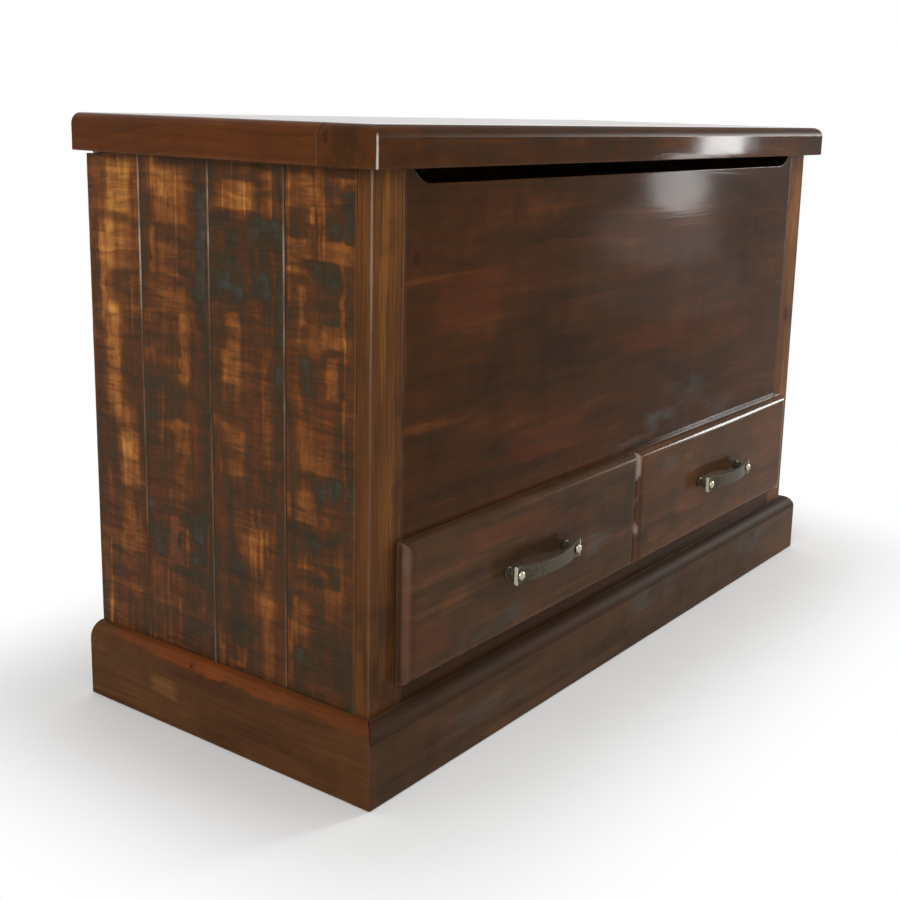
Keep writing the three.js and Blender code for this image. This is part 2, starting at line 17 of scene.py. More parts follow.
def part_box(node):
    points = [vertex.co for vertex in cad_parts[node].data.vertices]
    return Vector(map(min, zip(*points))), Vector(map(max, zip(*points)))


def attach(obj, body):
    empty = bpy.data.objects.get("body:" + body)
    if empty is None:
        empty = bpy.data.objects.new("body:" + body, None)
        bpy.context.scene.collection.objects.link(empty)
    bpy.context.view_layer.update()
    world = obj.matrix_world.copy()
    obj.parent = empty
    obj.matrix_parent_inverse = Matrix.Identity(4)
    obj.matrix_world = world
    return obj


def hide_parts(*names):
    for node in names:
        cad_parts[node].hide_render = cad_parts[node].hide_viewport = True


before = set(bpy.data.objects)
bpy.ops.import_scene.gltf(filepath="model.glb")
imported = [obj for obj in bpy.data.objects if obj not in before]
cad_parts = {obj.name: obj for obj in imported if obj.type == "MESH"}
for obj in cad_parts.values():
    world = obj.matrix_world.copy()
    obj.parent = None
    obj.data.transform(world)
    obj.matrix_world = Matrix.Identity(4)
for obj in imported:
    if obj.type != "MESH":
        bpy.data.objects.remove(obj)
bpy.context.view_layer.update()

LOG = logging.getLogger("mule_chest")
MM = 0.001
MERGE = 1e-6
FINE_MERGE = 1e-7
ORIGIN = (0.0, 0.0, 0.0)
WHITE = (1.0, 1.0, 1.0, 1.0)

Colour = tuple[float, float, float, float]
Point = tuple[float, float, float]
Tones = tuple[tuple[float, str], ...]
Tree = bpy.types.NodeTree
Socket = bpy.types.NodeSocket
Value = Union[float, Sequence[float], Socket]


def linear(code: str) -> Colour:
    """The linear colour of a six-digit sRGB code.

    Args:
        code: Red, green and blue as hexadecimal digits.

    Returns:
        The colour as linear red, green, blue and an alpha of one.
    """
    parts = [int(code[i : i + 2], 16) / 255 for i in (0, 2, 4)]
    red, green, blue = (p / 12.92 if p <= 0.04045 else ((p + 0.055) / 1.055) ** 2.4 for p in parts)
    return red, green, blue, 1.0


class Lay(Enum):
    """How a board lies: the axes along its grain, across its face and through its thickness."""

    UPRIGHT_IN_SIDE = "zyx"
    UPRIGHT_IN_FRONT = "zxy"
    LENGTHWISE_ON_EDGE = "xzy"
    LENGTHWISE_FLAT = "xyz"
    FRONT_TO_BACK_ON_EDGE = "yzx"

    def axes(self) -> list[int]:
        """The indices of the three axes, in that order."""
        return ["xyz".index(letter) for letter in self.value]


class Graph:
    """Adds shader nodes to one tree and joins them."""

    def __init__(self, tree: Tree) -> None:
        """Keeps the node tree of a material, a world or a group."""
        self.tree = tree

    def add(self, kind: str, inputs: dict, **settings) -> bpy.types.Node:
        """A new node.

        Args:
            kind: The node's type name.
            inputs: What goes in each socket, by name or index: a plain value or another socket.
            **settings: The node's own properties.

        Returns:
            The node.
        """
        node = self.tree.nodes.new(kind)
        for key, setting in settings.items():
            setattr(node, key, setting)
        for key, value in inputs.items():
            if isinstance(value, Socket):
                self.tree.links.new(value, node.inputs[key])
            else:
                node.inputs[key].default_value = value
        return node

    def math(self, operation: str, a: Value, b: Value = 0.0, c: Value = 0.0, clamp: bool = False) -> Socket:
        """One step of arithmetic on up to three numbers, kept between zero and one where clamp is set."""
        inputs = {0: a, 1: b, 2: c}
        return self.add("ShaderNodeMath", inputs, operation=operation, use_clamp=clamp).outputs[0]

    def times(self, a: Value, b: Value, clamp: bool = False) -> Socket:
        """The product of two numbers, kept between zero and one where clamp is set."""
        return self.math("MULTIPLY", a, b, clamp=clamp)

    def times_plus(self, a: Value, b: Value, c: Value, clamp: bool = False) -> Socket:
        """The product of two numbers plus a third, kept between zero and one where clamp is set."""
        return self.math("MULTIPLY_ADD", a, b, c, clamp)

    def less(self, a: Value, b: Value) -> Socket:
        """A number less another one."""
        return self.math("SUBTRACT", a, b)

    def vector(self, operation: str, a: Value, b: Value = ORIGIN) -> Socket:
        """One step of arithmetic on vectors."""
        return self.add("ShaderNodeVectorMath", {0: a, 1: b}, operation=operation).outputs[0]

    def length(self, vector: Value) -> Socket:
        """The length of a vector."""
        return self.add("ShaderNodeVectorMath", {0: vector}, operation="LENGTH").outputs["Value"]

    def split(self, vector: Value) -> list[Socket]:
        """The three numbers of a vector."""
        return list(self.add("ShaderNodeSeparateXYZ", {0: vector}).outputs)

    def join(self, x: Value, y: Value, z: Value) -> Socket:
        """A vector of three numbers."""
        return self.add("ShaderNodeCombineXYZ", {0: x, 1: y, 2: z}).outputs[0]

    def noise(
        self, vector: Value, stretch: Sequence[float] | float, detail: float = 2.0, distortion: float = 0.0,
        colour: bool = False, crisp: float = 0.5,
    ) -> Socket:
        """Smooth noise that is stretched by axis.

        Args:
            vector: Where on the piece.
            stretch: Cycles per metre along each axis, or one number for all three.
            detail: How many octaves it has.
            distortion: How much it swirls.
            colour: Whether three numbers come out in place of one.
            crisp: How strong its finer octaves are.

        Returns:
            The noise, from zero to one.
        """
        cycles = (stretch,) * 3 if isinstance(stretch, float) else stretch
        place = self.vector("MULTIPLY", vector, cycles)
        inputs = {
            "Vector": place, "Scale": 1.0, "Detail": detail, "Distortion": distortion, "Roughness": crisp,
        }
        return self.add("ShaderNodeTexNoise", inputs).outputs[1 if colour else 0]

    def chance(self, value: Value) -> Socket:
        """A random number that is the same for each whole step of a value."""
        whole = self.math("FLOOR", value)
        return self.add("ShaderNodeTexWhiteNoise", {"W": whole}, noise_dimensions="1D").outputs[0]

    def smooth(self, value: Value, low: Value, high: Value) -> Socket:
        """Zero where a value is below low, one above high, and a smooth rise between."""
        inputs = {0: value, 1: low, 2: high}
        return self.add("ShaderNodeMapRange", inputs, interpolation_type="SMOOTHSTEP").outputs[0]

    def fall(self, value: Value, low: Value, high: Value) -> Socket:
        """One where a value is below low, zero above high, and a smooth fall between."""
        return self.less(1.0, self.smooth(value, low, high))

    def between(self, share: Value, low: float, high: float) -> Socket:
        """A number from low to high, as share goes from zero to one."""
        return self.times_plus(share, high - low, low)

    def swing(self, value: Value, amount: Value) -> Socket:
        """Noise centred on zero, times an amount."""
        return self.times(self.less(value, 0.5), amount)

    def blend(self, share: Value, a: Value, b: Value, how: str = "MIX") -> Socket:
        """A mix of two colours, with a share of the second one."""
        inputs = {0: share, 6: a, 7: b}
        return self.add("ShaderNodeMix", inputs, data_type="RGBA", blend_type=how).outputs[2]

    def washes(self, colour: Value, *washes: tuple[Value, Value, str], how: str = "MIX") -> Value:
        """A colour under one wash after another.

        Args:
            colour: The colour below.
            *washes: For each wash its mask, its strength and its sRGB code.
            how: The name of the blend.

        Returns:
            The colour with every wash over it.
        """
        for mask, strength, code in washes:
            colour = self.blend(self.times(mask, strength), colour, linear(code), how)
        return colour

    def ramp(self, value: Value, stops: Tones) -> Socket:
        """A colour that follows a number.

        Args:
            value: The number, from zero to one.
            stops: Each place on the way with its sRGB code.

        Returns:
            The colour.
        """
        node = self.add("ShaderNodeValToRGB", {0: value})
        elements = node.color_ramp.elements
        elements.remove(elements[1])
        elements[0].position, elements[0].color = stops[0][0], linear(stops[0][1])
        for position, code in stops[1:]:
            elements.new(position).color = linear(code)
        return node.outputs[0]

    def group(self, tree: Tree, **inputs: Value) -> dict[str, Socket]:
        """The outputs of a shared effect, whose inputs have underscores for the spaces in their names."""
        named = {key.replace("_", " "): value for key, value in inputs.items()}
        return {socket.name: socket for socket in self.add("ShaderNodeGroup", named, node_tree=tree).outputs}


def blank(owner: bpy.types.Material | bpy.types.World) -> Graph:
    """Clears the nodes of a new material or world.

    Args:
        owner: The material or world.

    Returns:
        Its graph.
    """
    owner.use_nodes = True
    owner.node_tree.nodes.clear()
    return Graph(owner.node_tree)


class EffectGroup:
    """A shader node group under construction, with named inputs and outputs."""

    def __init__(self, name: str, inputs: dict[str, Value], outputs: Iterable[str]) -> None:
        """Makes the group and its sockets.

        Args:
            name: The group's name.
            inputs: Default value of each input. Three numbers make a vector.
            outputs: Names of the numbers that it gives.
        """
        self.tree = bpy.data.node_groups.new(name, "ShaderNodeTree")
        for label, default in inputs.items():
            kind = "NodeSocketFloat" if isinstance(default, float) else "NodeSocketVector"
            socket = self.tree.interface.new_socket(name=label, in_out="INPUT", socket_type=kind)
            socket.default_value = default
        for label in outputs:
            self.tree.interface.new_socket(name=label, in_out="OUTPUT", socket_type="NodeSocketFloat")
        self.graph = Graph(self.tree)
        self.given = self.tree.nodes.new("NodeGroupInput").outputs
        self.result = self.tree.nodes.new("NodeGroupOutput").inputs

    def give(self, **results: Socket) -> Tree:
        """Connects the outputs.

        Args:
            **results: The socket for each output, with underscores for spaces.

        Returns:
            The finished group.
        """
        for label, socket in results.items():
            self.tree.links.new(socket, self.result[label.replace("_", " ")])
        return self.tree


class Effects:
    """The effects that several finishes share, each built once."""

    def __init__(self) -> None:
        """Builds every group."""
        self.figure = self._figure()
        self.saw_marks = self._saw_marks()
        self.stain_depth = self._stain_depth()
        self.patch = self._patch()
        self.arris = self._arris()
        self.shade_and_wax = self._shade_and_wax()
        self.knot = self._knot()

    def _figure(self) -> Tree:
        """Growth rings round a pith, fibres and a slow cloud of stain.

        Returns:
            The finished group.
        """
        defaults = {
            "Vector": ORIGIN, "Pith Across": 0.0, "Pith Depth": -0.06, "Ring Width": 0.006, "Wander": 0.03,
        }
        made = EffectGroup("board_figure", defaults, ("Rings", "Fibre", "Cloud"))
        g, given = made.graph, made.given
        _, across, depth = g.split(given["Vector"])
        sway = g.split(g.noise(given["Vector"], (2.2, 8.0, 8.0), 2.0, colour=True))
        squares = []
        for place, pith, wander in ((across, "Pith Across", sway[0]), (depth, "Pith Depth", sway[1])):
            shifted = g.times_plus(g.less(wander, 0.5), given["Wander"], g.less(place, given[pith]))
            squares.append(g.math("POWER", shifted, 2.0))
        radius = g.math("DIVIDE", g.math("SQRT", g.math("ADD", *squares)), given["Ring Width"])
        ring = g.math("FRACT", radius)
        late = g.times(g.smooth(ring, 0.25, 0.88), g.fall(ring, 0.92, 1.0))
        rings = g.times(late, g.between(g.chance(radius), 0.35, 1.0))
        fibre = g.noise(given["Vector"], (9.0, 420.0, 420.0), 3.0)
        cloud = g.noise(given["Vector"], (3.0, 13.0, 13.0), 4.0, 0.4)
        return made.give(Rings=rings, Fibre=fibre, Cloud=cloud)

    def _saw_marks(self) -> Tree:
        """The fine lines and deeper strokes that a saw leaves across the grain.

        Returns:
            The finished group.
        """
        made = EffectGroup("saw_marks", {"Vector": ORIGIN}, ("Lines", "Strokes"))
        g, vector = made.graph, made.given["Vector"]
        fine = g.smooth(g.noise(vector, (270.0, 24.0, 24.0), 2.0, 0.4), 0.42, 0.62)
        area = g.smooth(g.noise(vector, (9.0, 14.0, 14.0), 3.0), 0.36, 0.6)
        strokes = g.smooth(g.noise(vector, (64.0, 13.0, 13.0), 4.0, 0.5), 0.56, 0.68)
        return made.give(Lines=g.times(fine, area), Strokes=strokes)

    def _stain_depth(self) -> Tree:
        """How much stain is left, from slate black at zero to bare bright wood at one.

        Returns:
            The finished group.
        """
        defaults = {
            "Vector": ORIGIN, "Half Width": 0.05, "Worn": 0.0, "Slate": 0.0, "Base": 0.45,
            "Cloud": 0.8, "Wisps": 0.3, "Bands": 0.4, "Cuts": 0.15, "Edge": 0.2,
        }
        made = EffectGroup("stain_depth", defaults, ("Tone", "Chill"))
        g, given = made.graph, made.given
        vector = given["Vector"]
        along, across, _ = g.split(vector)
        tone = given["Base"]
        layers = (
            ((6.5, 20.0, 20.0), 6.0, "Cloud"), ((8.0, 80.0, 80.0), 4.0, "Wisps"),
            ((50.0, 13.0, 13.0), 4.0, "Bands"),
        )
        for stretch, detail, amount in layers:
            layer = g.noise(vector, stretch, detail, 0.7, crisp=0.58)
            tone = g.math("ADD", tone, g.swing(layer, given[amount]))
        elsewhere = g.vector("ADD", vector, (3.1, 5.7, 2.3))
        streaks = g.smooth(g.noise(elsewhere, (6.0, 75.0, 75.0), 3.0, 0.4), 0.6, 0.68)
        tone = g.times_plus(g.times(streaks, given["Wisps"]), 0.45, tone)
        row = g.times_plus(along, 27.0, g.noise(vector, (11.0, 16.0, 16.0), 1.0))
        tone = g.math("ADD", tone, g.swing(g.chance(row), given["Cuts"]))
        ragged = g.swing(g.noise(vector, (26.0, 40.0, 40.0), 3.0), 0.9)
        rim = g.math("ADD", g.math("DIVIDE", g.math("ABSOLUTE", across), given["Half Width"]), ragged)
        tone = g.less(tone, g.times(g.smooth(rim, 0.55, 1.05), given["Edge"]))
        tone = g.times_plus(given["Worn"], 0.27, tone)
        torn = g.smooth(g.noise(vector, (34.0, 30.0, 30.0), 4.0), 0.34, 0.58)
        tone = g.times_plus(g.times(given["Slate"], torn), -0.25, tone)
        elsewhere = g.vector("ADD", vector, (7.3, 1.9, 4.1))
        cold = g.smooth(g.noise(elsewhere, (24.0, 42.0, 42.0), 2.0), 0.5, 0.7)
        return made.give(Tone=tone, Chill=g.times(cold, g.fall(tone, 0.08, 0.36)))

    def _patch(self) -> Tree:
        """One worn place with a ragged outline, added to those before it.

        Returns:
            The finished group.
        """
        defaults = {
            "Vector": ORIGIN, "So Far": 0.0, "Centre": ORIGIN, "Half Size": (0.01, 0.01, 1.0),
            "Strength": 1.0,
        }
        made = EffectGroup("worn_place", defaults, ("Mask",))
        g, given = made.graph, made.given
        away = g.vector("DIVIDE", g.vector("SUBTRACT", given["Vector"], given["Centre"]), given["Half Size"])
        x, y, _ = g.split(g.vector("ABSOLUTE", away))
        here = g.times(g.times(g.fall(x, 0.6, 1.35), g.fall(y, 0.85, 1.15)), given["Strength"])
        return made.give(Mask=g.math("MAXIMUM", given["So Far"], here))

    def _arris(self) -> Tree:
        """How near a point is to an outer arris of its piece's box.

        Returns:
            The finished group.
        """
        defaults = {"Vector": ORIGIN, "Low": ORIGIN, "High": (1.0, 1.0, 1.0), "Reach": 0.003}
        made = EffectGroup("arris_wear", defaults, ("Mask", "Front Corner"))
        g, given = made.graph, made.given
        up = g.vector("SUBTRACT", given["Vector"], given["Low"])
        down = g.vector("SUBTRACT", given["High"], given["Vector"])
        reach = g.times(given["Reach"], g.between(g.noise(given["Vector"], 34.0, 3.0), 0.1, 1.9))
        near = [g.fall(part, 0.0, reach) for part in g.split(g.vector("MINIMUM", up, down))]
        pairs = [g.times(near[i], near[j]) for i, j in ((0, 1), (1, 2), (0, 2))]
        mask = g.math("MAXIMUM", g.math("MAXIMUM", pairs[0], pairs[1]), pairs[2])
        corner = g.times(near[0], g.fall(g.split(up)[1], 0.0, reach))
        return made.give(Mask=mask, Front_Corner=corner)

    def _shade_and_wax(self) -> Tree:
        """Painted shade in corners and grooves, from ambient occlusion, with dark grime there too.

        Returns:
            The finished group.
        """
        made = EffectGroup("corner_shade_and_wax", {"Vector": ORIGIN, "Reach": 0.012}, ("Mask",))
        g, given = made.graph, made.given
        open_air = g.add("ShaderNodeAmbientOcclusion", {"Distance": given["Reach"]}, samples=6).outputs["AO"]
        broken = g.between(g.noise(given["Vector"], 60.0, 2.0), 0.55, 1.2)
        return made.give(Mask=g.times(g.less(1.0, open_air), broken, clamp=True))

    def _knot(self) -> Tree:
        """A knot: a dark core, and a halo where the figure swirls.

        Returns:
            The finished group.
        """
        defaults = {"Vector": ORIGIN, "Centre": ORIGIN, "Radius": 0.008}
        made = EffectGroup("knot", defaults, ("Core", "Halo"))
        g, given = made.graph, made.given
        away = g.vector("SUBTRACT", given["Vector"], given["Centre"])
        wobble = g.vector("SUBTRACT", g.noise(away, 120.0, 2.0, colour=True), (0.5, 0.5, 0.5))
        moved = g.vector("MULTIPLY", wobble, (0.006, 0.006, 0.006))
        flat = g.vector("ADD", g.vector("MULTIPLY", away, (0.6, 1.0, 0.4)), moved)
        ratio = g.math("DIVIDE", g.length(flat), given["Radius"])
        return made.give(Core=g.fall(ratio, 0.55, 1.05), Halo=g.fall(ratio, 1.0, 3.2))


@dataclass(frozen=True)
class Place:
    """A place on a flat face, in millimetres of the chest's frame, as seen square on to the face."""

    across: float
    up: float
    half_width: float
    half_height: float
    strength: float = 1.0


def places(*rows: tuple[float, ...]) -> tuple[Place, ...]:
    """Places from rows of their numbers."""
    return tuple(Place(*row) for row in rows)


@dataclass(frozen=True)
class Knot:
    """A knot at a point of the chest's frame, in millimetres."""

    x: float
    y: float
    z: float
    radius: float
    depth: float = 0.85


@dataclass(frozen=True)
class Board:
    """What a finish has to know about one board."""

    node: str
    lay: Lay
    seed: float = 0.0
    pith_across: float = 0.0
    pith_depth: float = -60.0
    ring_width: float = 6.0
    worn: tuple[Place, ...] = ()
    slate: tuple[Place, ...] = ()
    ruddy: tuple[Place, ...] = ()
    knots: tuple[Knot, ...] = ()


class Surface:
    """A material under construction for one board: its graph and the places on the board."""

    def __init__(self, finish: str, effects: Effects, board: Board) -> None:
        """Makes the material and its coordinates.

        Args:
            finish: The finish's name.
            effects: The shared effects.
            board: The board that it goes on.
        """
        self.effects, self.board = effects, board
        self.material = bpy.data.materials.new(f"{finish}_{board.node}")
        self.graph = blank(self.material)
        coordinates = self.graph.add("ShaderNodeTexCoord", {}).outputs
        self.point, self.facing = coordinates["Object"], coordinates["Normal"]
        self.low, self.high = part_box(board.node)
        middle = (self.low + self.high) / 2
        parts = self.graph.split(self.graph.vector("SUBTRACT", self.point, tuple(middle)))
        self.axes = board.lay.axes()
        self.half_width = (self.high - self.low)[self.axes[1]] / 2
        along, across, through = (parts[axis] for axis in self.axes)
        self.grain = self.graph.join(self.graph.math("ADD", along, board.seed), across, through)

    def up(self) -> Socket:
        """The height above the floor, in metres."""
        return self.graph.split(self.point)[2]

    def _square(self) -> tuple[Socket, Socket]:
        """How squarely the surface faces across and through the board."""
        parts = self.graph.split(self.graph.vector("ABSOLUTE", self.facing))
        return parts[self.axes[1]], parts[self.axes[2]]

    def slanted(self) -> Socket:
        """A mask of the faces that slant between the board's face and its edges, such as a V joint's."""
        return self.graph.smooth(self.graph.math("MINIMUM", *self._square()), 0.5, 0.68)

    def long_rounding(self) -> Socket:
        """A mask of the rounding between the board's face and its two long edges."""
        across, through = self._square()
        return self.graph.times(self.graph.smooth(across, 0.03, 0.12), self.graph.smooth(through, 0.03, 0.3))

    def end_rounding(self) -> Socket:
        """The rounding between the board's face and its two ends, fainter at the second end.

        Returns:
            A mask of it.
        """
        g = self.graph
        facing = g.split(self.facing)
        along, through = facing[self.axes[0]], facing[self.axes[2]]
        first = g.smooth(g.times(along, -1.0), 0.3, 0.85)
        outward = g.times_plus(g.smooth(along, 0.3, 0.85), 0.3, first)
        return g.times(outward, g.smooth(g.math("ABSOLUTE", through), 0.05, 0.3))

    def depth(self) -> Socket:
        """How far a point lies below the board's outer face, the one away from the chest's middle.

        Returns:
            The distance, in metres.
        """
        g, through = self.graph, self.axes[2]
        place = g.split(self.point)[through]
        if self.low[through] + self.high[through] < 0:
            return g.less(place, self.low[through])
        return g.less(self.high[through], place)

    def figure(self, wander: float) -> dict[str, Socket]:
        """The board's growth rings, fibres and cloud.

        Args:
            wander: How far the rings stray, in metres.

        Returns:
            The group's outputs by name.
        """
        board = self.board
        return self.graph.group(
            self.effects.figure, Vector=self.grain, Pith_Across=board.pith_across * MM,
            Pith_Depth=board.pith_depth * MM, Ring_Width=board.ring_width * MM, Wander=wander,
        )

    def arris(self, reach: float) -> dict[str, Socket]:
        """Masks of the board's worn arrises, which are so wide, and of its front corner."""
        low, high = tuple(self.low), tuple(self.high)
        return self.graph.group(self.effects.arris, Vector=self.point, Low=low, High=high, Reach=reach)

    def shade_and_wax(self, reach: float) -> Socket:
        """A mask of the painted shade and dark grime that reach so far out of corners."""
        return self.graph.group(self.effects.shade_and_wax, Vector=self.point, Reach=reach)["Mask"]

    def marks(self, chosen: Iterable[Place]) -> Value:
        """A mask of hand-placed marks.

        Args:
            chosen: The places of the marks.

        Returns:
            The mask, or zero where there are none.
        """
        g = self.graph
        x, y, z = g.split(self.point)
        across = y if self.axes[2] == 0 else x
        flat = g.join(across, z, 0.0)
        ragged = g.vector("SUBTRACT", g.noise(flat, (26.0, 60.0, 1.0), 3.0, colour=True), (0.5, 0.5, 0.5))
        flat = g.vector("ADD", flat, g.vector("MULTIPLY", ragged, (0.016, 0.014, 0.0)))
        mask: Value = 0.0
        for place in chosen:
            mask = g.group(
                self.effects.patch, Vector=flat, So_Far=mask, Centre=(place.across * MM, place.up * MM, 0.0),
                Half_Size=(place.half_width * MM, place.half_height * MM, 1.0), Strength=place.strength,
            )["Mask"]
        return mask

    def knots(self, colour: Value, dark: str, halo: str) -> Value:
        """The colour with the board's knots in it.

        Args:
            colour: The colour before.
            dark: sRGB code of a knot's core.
            halo: sRGB code of the wood round it.

        Returns:
            The colour with the knots.
        """
        for knot in self.board.knots:
            centre = (knot.x * MM, knot.y * MM, knot.z * MM)
            made = self.graph.group(
                self.effects.knot, Vector=self.point, Centre=centre, Radius=knot.radius * MM,
            )
            strengths = ((made["Halo"], 0.6 * knot.depth, halo), (made["Core"], knot.depth, dark))
            colour = self.graph.washes(colour, *strengths)
        return colour

    def close(
        self, colour: Value, roughness: Value, height: Value, relief: float, specular: float,
        metallic: Value = 0.0,
    ) -> bpy.types.Material:
        """Joins everything to the shader.

        Args:
            colour: Base colour.
            roughness: Roughness.
            height: Height for the bump, from zero to one.
            relief: What a height of one stands for, in metres.
            specular: The shader's specular level.
            metallic: Metallic.

        Returns:
            The finished material.
        """
        g = self.graph
        bump = g.add("ShaderNodeBump", {"Height": height, "Distance": relief, "Strength": 1.0}).outputs[0]
        shader = g.add("ShaderNodeBsdfPrincipled", {
            "Base Color": colour, "Roughness": roughness, "Metallic": metallic, "Normal": bump,
            "Specular IOR Level": specular,
        })
        g.add("ShaderNodeOutputMaterial", {"Surface": shader.outputs[0]})
        return self.material


class Finish(Protocol):
    """Anything that can dress a board."""

    slot: str

    def material(self, effects: Effects, board: Board) -> bpy.types.Material:
        """The finish for one board."""


@dataclass(frozen=True)
class SawnPine:
    """Rough sawn pine, stained dark, worn through to orange and varnished."""

    slot: str = "sawn_pine"
    tones: Tones = (
        (0.0, "3f3b31"), (0.2, "352d1f"), (0.34, "422d1a"), (0.47, "53311a"), (0.58, "693d1c"),
        (0.73, "854f25"), (1.0, "c5853f"),
    )
    base: float = 0.445
    paler_upwards: float = 0.13
    darker_at_foot: float = 0.06
    red: str = "6c3017"
    ruddy: str = "74412a"
    dark: str = "2b2216"
    chill: str = "4e524d"
    # Colour of the painted reflection in the V joints.
    joint: str = "b3a89c"
    knot_core: str = "1a0f08"
    knot_halo: str = "7a3c22"

    def material(self, effects: Effects, board: Board) -> bpy.types.Material:
        """The finish for one board.

        Args:
            effects: The shared effects.
            board: The board.

        Returns:
            Its material.
        """
        s = Surface(self.slot, effects, board)
        g = s.graph
        figure, marks = s.figure(0.03), g.group(effects.saw_marks, Vector=s.grain)
        base = g.times_plus(s.up(), self.paler_upwards, self.base - self.darker_at_foot)
        stain = g.group(
            effects.stain_depth, Vector=s.grain, Half_Width=s.half_width, Worn=s.marks(board.worn),
            Slate=s.marks(board.slate), Base=base, Cloud=0.8, Wisps=0.42, Bands=0.6, Cuts=0.15, Edge=0.15,
        )
        red = g.smooth(g.noise(s.grain, (9.0, 34.0, 34.0), 3.0), 0.5, 0.72)
        flecks = g.smooth(g.noise(s.grain, (120.0, 260.0, 260.0), 3.0), 0.45, 0.7)
        # The dark wash from the corner mask below is painted shade in corners and grooves, with some grime.
        colour = g.washes(
            g.ramp(stain["Tone"], self.tones),
            (red, 0.3, self.red), (s.marks(board.ruddy), 0.75, self.ruddy), (stain["Chill"], 0.4, self.chill),
            (figure["Rings"], 0.12, self.dark), (marks["Strokes"], 0.42, self.dark),
            (marks["Lines"], 0.34, self.dark), (flecks, 0.2, self.dark), (s.shade_and_wax(0.008), 0.4, self.dark),
        )
        colour = s.knots(colour, self.knot_core, self.knot_halo)
        colour = g.washes(colour, (s.arris(0.004)["Mask"], 0.35, self.tones[-2][1]))
        # Each V joint gets a pale line, which is a painted reflection of light on its chamfer.
        colour = g.blend(self._joint_reflection(s), colour, linear(self.joint))

        rough = g.times_plus(marks["Lines"], 0.06, g.between(figure["Cloud"], 0.3, 0.44))
        height = g.times_plus(marks["Lines"], -0.35, g.times(figure["Fibre"], 0.35))
        height = g.times_plus(marks["Strokes"], -0.55, height)
        height = g.times_plus(figure["Rings"], 0.12, height)
        return s.close(colour, rough, height, relief=0.0006, specular=0.06)

    @staticmethod
    def _joint_reflection(s: Surface) -> Socket:
        """A mask of the painted reflection in the outer half of a V joint, fainter near the floor and broken
        up.

        Args:
            s: The surface of the board.

        Returns:
            The mask.
        """
        g = s.graph
        patchy = g.between(g.noise(s.grain, (34.0, 9.0, 9.0), 5.0), -0.3, 2.0)
        fading = g.between(g.smooth(s.up(), 0.34, 0.62), 0.22, 1.0)
        pale = g.times(g.times(s.slanted(), patchy), fading, clamp=True)
        groove = g.less(g.smooth(s.depth(), 0.0009, 0.0018), g.smooth(s.depth(), 0.0032, 0.0042))
        varied = g.smooth(g.noise(s.grain, (7.0, 2.0, 2.0), 2.0, colour=True), 0.4, 0.6)
        return g.times(pale, g.times(groove, g.between(varied, 0.2, 1.0)))


